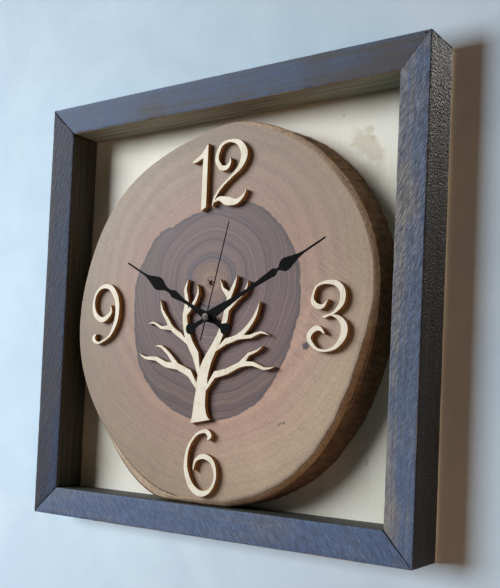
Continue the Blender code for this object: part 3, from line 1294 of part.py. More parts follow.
def build():
    for thing in list(bpy.data.objects):
        bpy.data.objects.remove(thing)

    def empty(name, parent, x, z):
        made = bpy.data.objects.new(name, None)
        bpy.context.scene.collection.objects.link(made)
        made.parent = parent
        made.location = (x, 0, z)
        return made

    clock = empty("clock_middle", None, 0, -hook_height)
    middle = empty("slice_middle", clock, SLICE_SHIFT, -SLICE_DROP)
    dial = empty("dial_axis", clock, AXIS_SHIFT, -AXIS_DROP)

    stained_wood = material("stained_softwood", "#5f6e8c", 0.7)
    plywood = material("birch_plywood", "#d8d3bd", 0.75)
    log_wood = material("sawn_log", "#9b8577", 0.6)
    cream_ply = material("laser_cut_plywood", "#efe9d6", 0.6)
    black = material("black_painted_steel", "#0d0d0e", 0.45)
    silver = material("polished_steel", "#c9c9c6", 0.25, 1.0)
    zinc = material("zinc_plated_steel", "#a9adb0", 0.35, 1.0)
    brass = material("brass", "#b08d4a", 0.35, 1.0)
    copper = material("enamelled_copper_wire", "#9a4f24", 0.4, 0.6)
    black_plastic = material("black_abs", "#161616", 0.5)
    white_plastic = material("natural_acetal", "#e6e3d8", 0.45)
    foam = material("black_foam", "#242424", 0.95)
    green_board = material("circuit_board_laminate", "#2c5a35", 0.5)
    battery_wrap = material("battery_sleeve", "#3a3f45", 0.35)

    sides, rails = build_frame(clock, stained_wood, zinc)
    build_hanger(clock, rails["top"], zinc, silver)
    panel = build_panel(clock, dial, sides, rails, plywood, zinc)
    build_slice(middle, dial, panel, log_wood, zinc)
    build_numerals(middle, cream_ply)
    build_hands(dial, black, silver)
    build_case(dial, black_plastic, foam)
    build_battery(dial, battery_wrap, zinc)
    build_motor(dial, silver, white_plastic, copper)
    build_board(dial, green_board, black_plastic, silver)
    build_train(dial, white_plastic, brass, black_plastic)
    even_out(bpy.data.objects)


build()
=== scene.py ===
# Square wooden wall clock with a slice of a log for its dial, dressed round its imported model. Lengths are in
# metres. X is to the right as seen from the front and Z is up. The wall is Y = 0 and the clock stands out
# from it towards -Y. "Out" is a distance from the wall, so y = -out.
import functools
import math

import bmesh
import bpy
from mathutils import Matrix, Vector, noise


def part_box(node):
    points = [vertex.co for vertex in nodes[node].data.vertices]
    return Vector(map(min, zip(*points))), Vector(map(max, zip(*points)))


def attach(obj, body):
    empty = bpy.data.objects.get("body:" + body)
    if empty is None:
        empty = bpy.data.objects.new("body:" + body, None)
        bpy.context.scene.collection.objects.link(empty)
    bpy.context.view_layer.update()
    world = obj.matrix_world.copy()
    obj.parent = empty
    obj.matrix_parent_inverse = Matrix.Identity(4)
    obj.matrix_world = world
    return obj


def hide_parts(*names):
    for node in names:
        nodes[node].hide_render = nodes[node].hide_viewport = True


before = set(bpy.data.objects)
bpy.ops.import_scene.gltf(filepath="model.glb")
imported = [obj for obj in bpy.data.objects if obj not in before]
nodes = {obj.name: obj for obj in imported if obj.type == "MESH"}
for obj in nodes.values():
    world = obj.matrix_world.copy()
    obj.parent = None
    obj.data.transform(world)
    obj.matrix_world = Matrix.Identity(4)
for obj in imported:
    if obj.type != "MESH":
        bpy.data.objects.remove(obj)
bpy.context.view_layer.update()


# Frame rails. Four lengths of sawn softwood, 23 mm wide and 38 mm deep, mitred and bradded at the corners.
# The face falls a little towards the opening. The wood was stained grey-blue in front, and its arrises are
# rubbed through.
MM = 0.001
HALF_SIDE = 175 * MM
FRAME_DROP = 166 * MM
RAIL_FACE = 23 * MM
RAIL_DEPTH = 38 * MM
FACE_FALL = 3.1 * MM
MITRE_GAP = 0.15 * MM
RINGS_ALONG = 170
SHARP_ANGLE = math.radians(40)
# The thin coat on a rail's inner side, darkened as painted shade: its plain and its streaked tone.
INNER_SIDE_PAINTED_SHADE = ("#45463f", "#2a2b28")


def linear(hex_colour):
    """Scene-linear colour of an sRGB hex value."""
    channels = [int(hex_colour[i:i + 2], 16) / 255 for i in (1, 3, 5)]
    return [c / 12.92 if c <= 0.04045 else ((c + 0.055) / 1.055) ** 2.4 for c in channels] + [1.0]


def add_node(tree, kind, *values, out=0, stops=(), **named):
    """Adds a node and returns one of its outputs. Values go to its inputs in their order, or by name. Each is
    a number, a hex colour or another node's output. A name in small letters is a setting of the node."""
    made = tree.nodes.new("ShaderNode" + kind)
    for name in [name for name in named if name.islower()]:
        setattr(made, name, named.pop(name))
    for name, value in [*enumerate(values), *named.items()]:
        if isinstance(value, bpy.types.NodeSocket):
            tree.links.new(value, made.inputs[name])
        else:
            made.inputs[name].default_value = linear(value) if isinstance(value, str) else value
    for number, (position, value) in enumerate(stops):
        ramp = made.color_ramp.elements
        stop = ramp[number] if number < 2 else ramp.new(position)
        stop.position = position
        stop.color = linear(value) if isinstance(value, str) else (value, value, value, 1)
    return made.outputs[out]


def new_finish(name, roughness, metallic=0.0, specular=0.5):
    """A new material with the Principled shader that Blender gives it. Returns it, its own add_node and the
    place on the piece."""
    made = bpy.data.materials.new(name)
    made.use_nodes = True
    sockets = made.node_tree.nodes["Principled BSDF"].inputs
    sockets["Roughness"].default_value = roughness
    sockets["Metallic"].default_value = metallic
    sockets["Specular IOR Level"].default_value = specular
    add = functools.partial(add_node, made.node_tree)
    return made, add, add("TexCoord", out="Object")


def surfaced(made, colour, *bumps, rough=None):
    """The finish with its colour, its roughness and its bumps, each (strength, distance in mm, height)."""
    tree = made.node_tree
    sockets = tree.nodes["Principled BSDF"].inputs
    tree.links.new(colour, sockets["Base Color"])
    if rough is not None:
        tree.links.new(rough, sockets["Roughness"])
    below = {}
    for strength, distance, height in bumps:
        below["Normal"] = add_node(tree, "Bump", Strength=strength, Distance=distance * MM, Height=height,
                                   **below)
    tree.links.new(below["Normal"], sockets["Normal"])
    return made


def rail_section():
    """Points round a rail's section with rounded corners, as (inward, out, normal inward, normal out)."""
    corners = [
        (0, 0, 0.5, 3.0), (0, 38, 0.9, 1.6), (23, 34.9, 0.9, 2.4), (23, 6, 0.4, 3.0), (15, 6, 0.2, 3.0),
        (15, 0, 0.4, 4.0)]
    points = []
    for k, (inward, out, radius, spacing) in enumerate(corners):
        here = Vector((inward, out))
        before = Vector(corners[k - 1][:2])
        after = Vector(corners[(k + 1) % len(corners)][:2])
        start = here + (before - here).normalized() * radius
        end = here + (after - here).normalized() * radius
        for share in (0, 0.25, 0.5, 0.75, 1):
            points.append(start.lerp(here, share).lerp(here.lerp(end, share), share))
        next_radius = corners[(k + 1) % len(corners)][2]
        stretch = (after - here).length - radius - next_radius
        count = max(1, round(stretch / spacing))
        direction = (after - here).normalized()
        points += [end + direction * stretch * step / count for step in range(1, count)]
    section = []
    for k, point in enumerate(points):
        along = (points[(k + 1) % len(points)] - points[k - 1]).normalized()
        section.append((point.x * MM, point.y * MM, -along.y, along.x))
    return section


def rail_mesh(name, seed, uneven, wear_outer, wear_inner, low_gap=0, high_gap=0, grooves=(0.3, 0.3),
              chips=0.1):
    """A rail between its mitres, laid as the top one. Its faces are uneven and its arrises nicked, its
    mitres open by a gap in mm at each end, with a groove round the end face and chips out of its edge."""
    section = rail_section()
    shape = bmesh.new()
    tags = {key: shape.verts.layers.float.new(key) for key in ("outer_side", "inner_side", "back", "wear")}
    ends = 1 - 0.45 * MM / HALF_SIDE
    shares = [-1] + [ends * (2 * k / RINGS_ALONG - 1) for k in range(RINGS_ALONG + 1)] + [1]
    rings = []
    for number, share in enumerate(shares):
        ring = []
        closed_end = number in (0, len(shares) - 1)
        for inward, out, normal_in, normal_out in section:
            spread = (low_gap if share < 0 else high_gap) * (0.5 + 0.5 * inward / RAIL_FACE)
            x = share * (HALF_SIDE - inward - MITRE_GAP - spread * MM)
            spot = Vector((x / (26 * MM), inward / (2.2 * MM), out / (2.2 * MM) + seed))
            grain = 0.5 + 0.5 * noise.fractal(spot, 1.0, 2.0, 4)
            spot = Vector((x / (60 * MM), inward / (14 * MM), out / (14 * MM) - seed))
            broad = 0.5 + 0.5 * noise.noise(spot)
            sink = uneven * (0.25 * grain + 0.2 * broad)
            wear = 0.0
            for corner_in, corner_out, strength in ((0, RAIL_DEPTH, wear_outer),
                                                    (RAIL_FACE, RAIL_DEPTH - FACE_FALL, wear_inner)):
                reach = math.hypot(inward - corner_in, out - corner_out) / (1.0 * MM)
                near = math.exp(-reach * reach)
                nick = noise.fractal(Vector((x / (9 * MM), seed * 3.1, corner_in * 500)), 1.0, 2.0, 3)
                sink += near * (0.12 + 0.8 * max(0.0, nick - 0.28))
                wear += near * strength * (0.75 + 0.5 * nick)
            if number < 2 or number > len(shares) - 3:
                spot = Vector((inward / (2.5 * MM), out / (2.5 * MM), seed + share))
                chip = noise.fractal(spot, 1.0, 2.0, 3)
                sink += (grooves[share > 0] if closed_end else 0.0) + chips * max(0.0, chip + 0.1)
            place = (inward - normal_in * sink * MM, out - normal_out * sink * MM)
            vertex = shape.verts.new((x, -place[1], HALF_SIDE - place[0]))
            vertex[tags["outer_side"]] = max(0.0, -normal_in) ** 2
            vertex[tags["inner_side"]] = max(0.0, normal_in) ** 2
            vertex[tags["back"]] = max(0.0, -normal_out) ** 12
            vertex[tags["wear"]] = wear
            ring.append(vertex)
        rings.append(ring)
    shape.faces.new(rings[0])
    shape.faces.new(rings[-1])
    for first, second in zip(rings, rings[1:]):
        bridge(shape, first, second)
    return finished_mesh(name, shape)


def bridge(shape, first, second, finish=0):
    """Faces between two rings of vertices."""
    for k in range(len(first)):
        after = (k + 1) % len(first)
        shape.faces.new((first[k], first[after], second[after], second[k])).material_index = finish


def finished_mesh(name, shape):
    """Mesh of a closed shape, with its faces pointing out and its round stretches smooth."""
    shape.normal_update()
    bmesh.ops.recalc_face_normals(shape, faces=shape.faces)
    mesh = bpy.data.meshes.new(name)
    shape.to_mesh(mesh)
    shape.free()
    mesh.shade_smooth()
    mesh.set_sharp_from_angle(angle=SHARP_ANGLE)
    return mesh


def add_piece(name, mesh, place, turn=(0, 0, 0)):
    piece = bpy.data.objects.new(name, mesh)
    bpy.context.scene.collection.objects.link(piece)
    piece.location = place
    piece.rotation_euler = turn
    return piece


def reshape(piece, tools, operation="DIFFERENCE"):
    """Cuts the tools' shapes out of a piece, or joins them to it, and clears the tools away."""
    for tool in tools:
        step = piece.modifiers.new(tool.name, "BOOLEAN")
        step.operation = operation
        step.solver = "EXACT"
        step.object = tool
    bpy.context.view_layer.update()
    view = bpy.context.evaluated_depsgraph_get()
    mesh = bpy.data.meshes.new_from_object(piece.evaluated_get(view), preserve_all_data_layers=True,
                                           depsgraph=view)
    piece.modifiers.clear()
    piece.data = mesh
    mesh.set_sharp_from_angle(angle=SHARP_ANGLE)
    for tool in tools:
        bpy.data.objects.remove(tool)


def drawn(points):
    """The points of a table in mm, in metres."""
    return [tuple(side * MM for side in point) for point in points]


def turned(name, profile, sides):
    """Solid of revolution about the out axis, from (radius, out) points."""
    shape = bmesh.new()
    corners = [shape.verts.new((radius, -out, 0)) for radius, out in profile]
    edges = [shape.edges.new(pair) for pair in zip(corners, corners[1:])]
    bmesh.ops.spin(shape, geom=corners + edges, cent=(0, 0, 0), axis=(0, 1, 0), dvec=(0, 0, 0),
                   angle=math.tau, steps=sides, use_merge=True)
    bmesh.ops.remove_doubles(shape, verts=shape.verts, dist=1e-6)
    return finished_mesh(name, shape)


def block(name, x_low, x_high, rear, front, z_low, z_high):
    shape = bmesh.new()
    corners = bmesh.ops.create_cube(shape, size=1)["verts"]
    for corner in corners:
        x, y, z = (share + 0.5 for share in corner.co)
        corner.co = (x_low + x * (x_high - x_low), -rear - y * (front - rear), z_low + z * (z_high - z_low))
    return finished_mesh(name, shape)


def stained_softwood(name, blue, brown, outer_lean, furrow, furrow_turn, furrow_size, far_tone="#ffffff",
                     inner_light_and_shade=INNER_SIDE_PAINTED_SHADE, near_lean=0.0, far_lean=0.0, lines=0.3, furrow_from=-400,
                     furrow_to=-300):
    """Thin water stain on sawn softwood. It turns from blue to brown in patches, lies dark in the furrows,
    and the wood shows tan where the arris is rubbed. A lean turns it browner, and the furrows set in between
    two places along the rail."""
    made, add, place = new_finish(name, 0.62, specular=0.3)
    length, width = (add("SeparateXYZ", place, out=axis) for axis in "XZ")
    # Grain: streaks 90 mm long and 2.4 mm wide, and lines 25 mm long and 0.6 mm wide.
    streak = add("TexNoise", add("Mapping", place, Scale=(11, 420, 420)), Scale=1.0, Detail=4.0,
                 Roughness=0.6)
    line = add("TexNoise", add("Mapping", place, Scale=(40, 1600, 1600)), Scale=1.0, Detail=2.0)
    # Patches about 40 mm across, leaning to brown at the outer edge or towards one end.
    patch = add("TexNoise", place, Scale=24.0, Detail=3.0)
    patchy = add("Math", patch, streak)
    across = add("MapRange", width, HALF_SIDE - RAIL_FACE, HALF_SIDE, 0.0, outer_lean)
    patchy = add("Math", patchy, across)
    along = add("MapRange", length, -HALF_SIDE, HALF_SIDE, near_lean, far_lean)
    patchy = add("Math", patchy, along)
    browned = add("MapRange", patchy, 0.95, 1.3)
    face = add("MixRGB", browned, blue, brown)
    far_share = add("MapRange", length, -HALF_SIDE, HALF_SIDE)
    toned = add("MixRGB", far_share, "#ffffff", far_tone)
    face = add("MixRGB", 1.0, face, toned, blend_type="MULTIPLY")
    # Saw furrows, laid across the grain at an angle.
    furrows = add("TexNoise", add("Mapping", place, Rotation=(0, math.radians(furrow_turn), 0),
                                  Scale=(furrow_size[0] * MM, 4 * MM, furrow_size[1] * MM),
                                  vector_type="TEXTURE"), Scale=1.0, Detail=3.0, Distortion=0.5)
    furrow_here = add("MapRange", length, furrow_from * MM, furrow_to * MM, 0.0, furrow)
    furrow_height = add("Math", furrows, furrow_here, operation="MULTIPLY")
    furrow_dark = add("MapRange", furrows, 0.38, 0.62, 1.0, 0.0)
    furrow_shade = add("Math", furrow_dark, furrow_here, operation="MULTIPLY")
    face = add("MixRGB", furrow_shade, face, "#2f3749")
    # Specks where the stain beaded on the pores.
    speck = add("TexNoise", place, Scale=1100.0, Detail=1.0)
    speck_light = add("ValToRGB", speck, stops=[(0.3, 0.7), (0.75, 1.3)])
    face = add("MixRGB", 0.8, face, speck_light, blend_type="MULTIPLY")
    line_dark = add("ValToRGB", line, stops=[(0.36, 0.55), (0.54, 1.0)])
    face = add("MixRGB", lines, face, line_dark, blend_type="MULTIPLY")
    # The outer sides are darker than the front, as painted shade over the same stain. The inner sides take
    # the thin coat's tones of painted light and shade, and the back is bare wood.
    sides = [("outer_side", "#2c2e2f", "#1a1c1d"), ("inner_side", *inner_light_and_shade), ("back", "#b39670", "#85694a")]
    for zone, plain, streaked in sides:
        share = add("Attribute", attribute_name=zone, out="Fac")
        side = add("ValToRGB", streak, stops=[(0.35, streaked), (0.62, plain)])
        face = add("MixRGB", share, face, side)
    wear = add("Attribute", attribute_name="wear", out="Fac")
    worn = add("Math", wear, streak)
    rubbed = add("MapRange", worn, 0.78, 1.05)
    rub = add("ValToRGB", line, stops=[(0.4, "#624128"), (0.62, "#9a8069")])
    face = add("MixRGB", rubbed, face, rub)
    return surfaced(made, face, (0.5, 0.15, line), (0.8, 0.9, furrow_height))


# What is cut into the rails, in mm: the holes as (radius, depth), the hanger's two cuts as half width and
# depth, and a zone round the cuts.
BRAD_HOLE = [(0, -1), (1.6, -1), (1.6, 1), (1, 1), (1, 30.2), (0, 30.2)]
NAIL_HOLE = [(0, 35), (0.6, 35), (0.7, 40), (0, 40)]
HANGER_CUTS = {"hanger_seat": (32.3, 2.2), "hook_pocket": (24, 6.6)}
CUT_HALF_WIDTH, CUT_DEPTH, CUT_LOW, CUT_HIGH = 32.5, 6.7, 158.9, 172.1


def rail_tools(end_name):
    """Cutters for what is let into each rail, in the row frame."""
    corner = HALF_SIDE - RAIL_FACE / 2
    tools = []
    for up in (1, -1):
        for across in (-1, 1):
            if end_name in ({1: "top", -1: "bottom"}[up], {1: "right", -1: "left"}[across]):
                tools.append(add_piece("brad_hole", turned("brad_hole", drawn(BRAD_HOLE), 16),
                                       (across * corner, -19 * MM, up * (HALF_SIDE - 0.4 * MM) - FRAME_DROP),
                                       (up * math.pi / 2, 0, 0)))
    if end_name == "top":
        nail = turned("nail_hole", drawn(NAIL_HOLE), 12)
        tools.append(add_piece("nail_hole", nail, (171 * MM, 0, 7.2 * MM)))
        for name, (reach, depth) in HANGER_CUTS.items():
            cutter = block(name, -reach * MM, reach * MM, -1 * MM, depth * MM, -7 * MM, 6 * MM)
            tools.append(add_piece(name, cutter, (0, 0, 0)))
    return tools


# Each rail's quarter turns from the top one, its shape and its stain. The stain's tones differ from rail
# to rail partly as the stain does and partly as painted shade, darkest on the left rail and lightest on
# the right one. The top rail's pale inner tones are painted light on its underside.
RAILS = {
    "top": (0, dict(uneven=0.3, wear_outer=0.3, wear_inner=0.65, high_gap=-0.13, grooves=(0.3, 0.0), chips=0.2),
            dict(blue="#3f506d", brown="#403e40", inner_light_and_shade=("#a5a795", "#6f7268"), outer_lean=-0.1,
                 near_lean=-0.1, far_lean=0.35, furrow=0.12, furrow_turn=-25, furrow_size=(9, 1.3))),
    "right": (1, dict(uneven=0.9, wear_outer=0.6, wear_inner=0.35, low_gap=-0.13, high_gap=0.45,
                      grooves=(0.0, 0.3)),
              dict(blue="#5c6c88", brown="#918a80", outer_lean=-0.35, near_lean=0.35, far_lean=0.15, lines=0.6,
                   furrow=0.95, furrow_turn=30, furrow_size=(6, 0.65), furrow_from=300, furrow_to=0)),
    "bottom": (2, dict(uneven=0.5, wear_outer=0.7, wear_inner=0.35, low_gap=0.45),
               dict(blue="#566c8e", brown="#6a7182", outer_lean=0.05, furrow=0.6, furrow_turn=50,
                    furrow_size=(8, 1.1))),
    "left": (3, dict(uneven=0.6, wear_outer=0.15, wear_inner=0.3, chips=0.7),
             dict(blue="#2e4468", brown="#4a4341", far_tone="#a3b4ca", outer_lean=0.5, lines=0.4, furrow=0.95,
                  furrow_turn=22, furrow_size=(14, 0.9))),
}
for number, (side, (quarter, rail_shape, rail_stain)) in enumerate(RAILS.items()):
    rail = add_piece("rail_" + side, rail_mesh("rail_" + side, 7.3 * number, **rail_shape),
                     (0, 0, -FRAME_DROP), (0, quarter * math.pi / 2, 0))
    reshape(rail, rail_tools(side))
    if side == "top":
        # The cuts for the hanger show bare wood, as the back does.
        back = rail.data.attributes["back"].data
        for vertex in rail.data.vertices:
            if (abs(vertex.co.x) < CUT_HALF_WIDTH * MM and vertex.co.y > -CUT_DEPTH * MM
                    and CUT_LOW * MM < vertex.co.z < CUT_HIGH * MM):
                back[vertex.index].value = 1.0
    rail.data.materials.clear()
    rail.data.materials.append(stained_softwood("stained_softwood_" + side, **rail_stain))
    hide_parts("frame_rail_" + side)
    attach(rail, "clock_body")


# Slice of a log, about 280 mm across and 25 mm thick, sawn square to the trunk and sanded in front. Pale
# sapwood rings a purple-brown heart. The bark stands behind a torn rim at the lower right, and has parted
# from the wood along a crack at the lower left.
SLICE_MIDDLE = (1.5 * MM, 0, -172 * MM)
SLICE_REAR = 6 * MM
SLICE_FRONT = 31 * MM
SLICE_SIDES = 480
SLICE_RADIUS = 140.4
# The edge's waves as (number round the slice, size in mm, turn in degrees). Its swells, those of the bark
# behind it, and the lowest place that leaves the bottom rail free, in mm. A swell is (direction in degrees,
# reach in mm, sharpness).
EDGE_WAVES = [(2, 3.8, 141), (3, 1.3, 123), (6, 1.2, 85)]
EDGE_SWELLS = [(-68, 4.8, 12), (25, 1.0, 3), (84, 2.3, 60), (170, 1.0, 8)]
BARK_SWELLS = [(-22, 5.6, 6), (45, 1.6, 2), (43, 2.8, 10)]
LOWEST = 145.2
RIND_REACH = 6.2
THICKNESS = 25
PITH = (-1.5 * MM, 23 * MM)
KNOTS = [(84.4, -25.1, 2.7), (64.8, -81.6, 0.7), (66.7, -80.6, 0.6), (69.0, -80.4, 0.8)]
# The heart's edge, as (direction in degrees, distance from the middle in mm).
HEART = [
    (4, 78.6), (14, 80.4), (24, 83.2), (34, 84.4), (44, 86.1), (53, 87.4), (63, 88.5), (70, 88), (84, 82.3),
    (100, 79.7), (119, 80.4), (128, 84.2), (135, 85.1), (143, 83.1), (161, 81.7), (173, 78.8), (185, 77.4),
    (200, 78.7), (211, 80.9), (228, 81.6), (255, 82.5), (266, 83.5), (283, 81.7), (304, 80.4), (316, 78),
    (328, 76), (347, 75.4), (364, 78.6),
]


def swell(swells, angle):
    return sum(reach * max(0.0, math.cos(angle - math.radians(direction))) ** sharpness
               for direction, reach, sharpness in swells)


def window(angle, start, end, soft):
    """One between two directions in degrees, falling to nothing over a soft stretch outside them."""
    degrees = (math.degrees(angle) + 180) % 360 - 180
    rise = min(1.0, max(0.0, (degrees - start + soft) / soft))
    fall = min(1.0, max(0.0, (end + soft - degrees) / soft))
    share = min(rise, fall)
    return share * share * (3 - 2 * share)


def heart_reach(angle):
    """Distance from the middle to the heart's edge in one direction, in mm, with small ragged steps."""
    degrees = math.degrees(angle) % 360
    if degrees < HEART[0][0]:
        degrees += 360
    for (low, start), (high, end) in zip(HEART, HEART[1:]):
        if degrees <= high:
            share = (degrees - low) / (high - low)
            break
    ragged = noise.fractal(Vector((math.cos(angle) * 16, math.sin(angle) * 16, 3)), 0.8, 2.0, 4)
    return start + (end - start) * share * share * (3 - 2 * share) + 0.9 * ragged


def slice_profile(angle):
    """The slice's half section in one direction: (radius and depth in mm, finish, painted shade share) of each
    point.
    """
    reach = SLICE_RADIUS + swell(EDGE_SWELLS, angle) + sum(
        size * math.cos(count * angle - math.radians(turn)) for count, size, turn in EDGE_WAVES)
    flare = 0.3 + swell(BARK_SWELLS, angle)
    round_spot = Vector((math.cos(angle), math.sin(angle), 0))
    # The parted rind stands out to the lower left, and nothing reaches down to the bottom rail.
    rind = window(angle, -112, 180, 34) * window(angle, -180, -110, 13)
    reach += RIND_REACH * rind
    limit = LOWEST / max(0.5, -math.sin(angle))
    reach = min(reach, limit)
    crack = min(1.0, 3 * rind)
    low_right = window(angle, -74, -14, 18)
    torn = 0.42 * window(angle, -92, 72, 18) + 0.58 * low_right
    wobble = noise.fractal(round_spot * 9, 1.0, 2.0, 4)
    fray = noise.fractal(round_spot * 60, 1.0, 2.0, 3)
    lip = max(0.7, 0.9 + RIND_REACH * rind + 1.2 * crack + 6.0 * torn - 2.3 * low_right
              + (0.7 * wobble + 0.3 * fray) * torn)
    edge = reach - lip
    points = [(edge * share, 0.0, 0, 0) for share in (0.1, 0.25, 0.4, 0.55, 0.7, 0.8, 0.88, 0.94, 0.98)]
    ditch = 3.2 * crack * (0.75 + 0.6 * abs(fray))
    groove = 0.45 + 0.55 * crack
    step = 0.8 * crack
    # Painted shade in the crack at the lower left and along the torn rim's edge at the lower right.
    dark = max(crack, 0.6 * low_right)
    points += [
        (edge, 0.0, 0, 0.6 * low_right), (edge + 0.1, 0.1 + 0.5 * ditch, 0, dark),
        (edge + 0.4 * groove, 0.15 + ditch, 1, dark), (edge + 0.85 * groove, 0.2 + 0.9 * ditch, 1, dark),
        (edge + groove, 0.25 + step, 1, 0.3 * dark)]
    drop = 1.0 + 3.4 * torn + 0.6 * crack
    for share in (0.25, 0.45, 0.65, 0.85):
        rough = 0.35 * fray * (crack + torn) * math.sin(math.pi * share)
        bulge = share ** (1.3 + 1.2 * crack)
        points.append((edge + groove + (lip - 0.3 - groove) * share,
                       0.25 + step + (drop - 0.25) * bulge + rough, 1, 0))
    shares = (0, 0.06, 0.12, 0.2, 0.28, 0.37, 0.46, 0.55, 0.64, 0.73, 0.82, 0.9, 0.96, 1)
    for number, share in enumerate(shares):
        down = drop + step + (THICKNESS - drop - step) * share
        furrow = noise.fractal(Vector((math.cos(angle) * 34, math.sin(angle) * 34, down / 16)), 0.9, 2.1, 4)
        plate = noise.noise(Vector((math.cos(angle) * 11, math.sin(angle) * 11, down / 9 + 5)))
        ripple = 0.12 * math.sin(11 * angle + 5 * down / THICKNESS) * math.sin(math.pi * down / THICKNESS)
        relief = (0.3 + 0.7 * max(0.0, 0.35 - furrow) + 0.5 * max(0.0, plate)) * min(1.0, number / 2)
        points.append((min(reach + flare * down / THICKNESS, limit) + ripple - relief, down, 2, 0))
    return points


def slice_mesh():
    profiles = [slice_profile(math.tau * k / SLICE_SIDES) for k in range(SLICE_SIDES)]
    hearts = [heart_reach(math.tau * k / SLICE_SIDES) for k in range(SLICE_SIDES)]
    shape = bmesh.new()
    heart_share = shape.verts.layers.float.new("heart_share")
    # The share of painted shade in the crack and at the torn rim's edge.
    split_shade = shape.verts.layers.float.new("split_shade")
    middle = shape.verts.new((0, -SLICE_FRONT, 0))
    rings = []
    for number in range(len(profiles[0])):
        ring = []
        for k, profile in enumerate(profiles):
            radius, down, finish, dark = profile[number]
            angle = math.tau * k / SLICE_SIDES
            vertex = shape.verts.new((radius * MM * math.cos(angle), down * MM - SLICE_FRONT,
                                      radius * MM * math.sin(angle)))
            vertex[heart_share] = radius / hearts[k]
            vertex[split_shade] = dark
            ring.append(vertex)
        rings.append(ring)
    for k in range(SLICE_SIDES):
        shape.faces.new((middle, rings[0][k], rings[0][(k + 1) % SLICE_SIDES]))
    for first, second, (_, _, finish, _) in zip(rings, rings[1:], profiles[0][1:]):
        bridge(shape, first, second, finish)
    shape.faces.new(rings[-1])
    return finished_mesh("log_slice", shape)


def painted_split_shade(add, colour):
    """The colour, with painted shade in the split between the wood and its rind and along the torn rim's edge.
    """
    split_shade = add("Attribute", attribute_name="split_shade", out="Fac")
    return add("MixRGB", split_shade, colour, "#2a1a12")


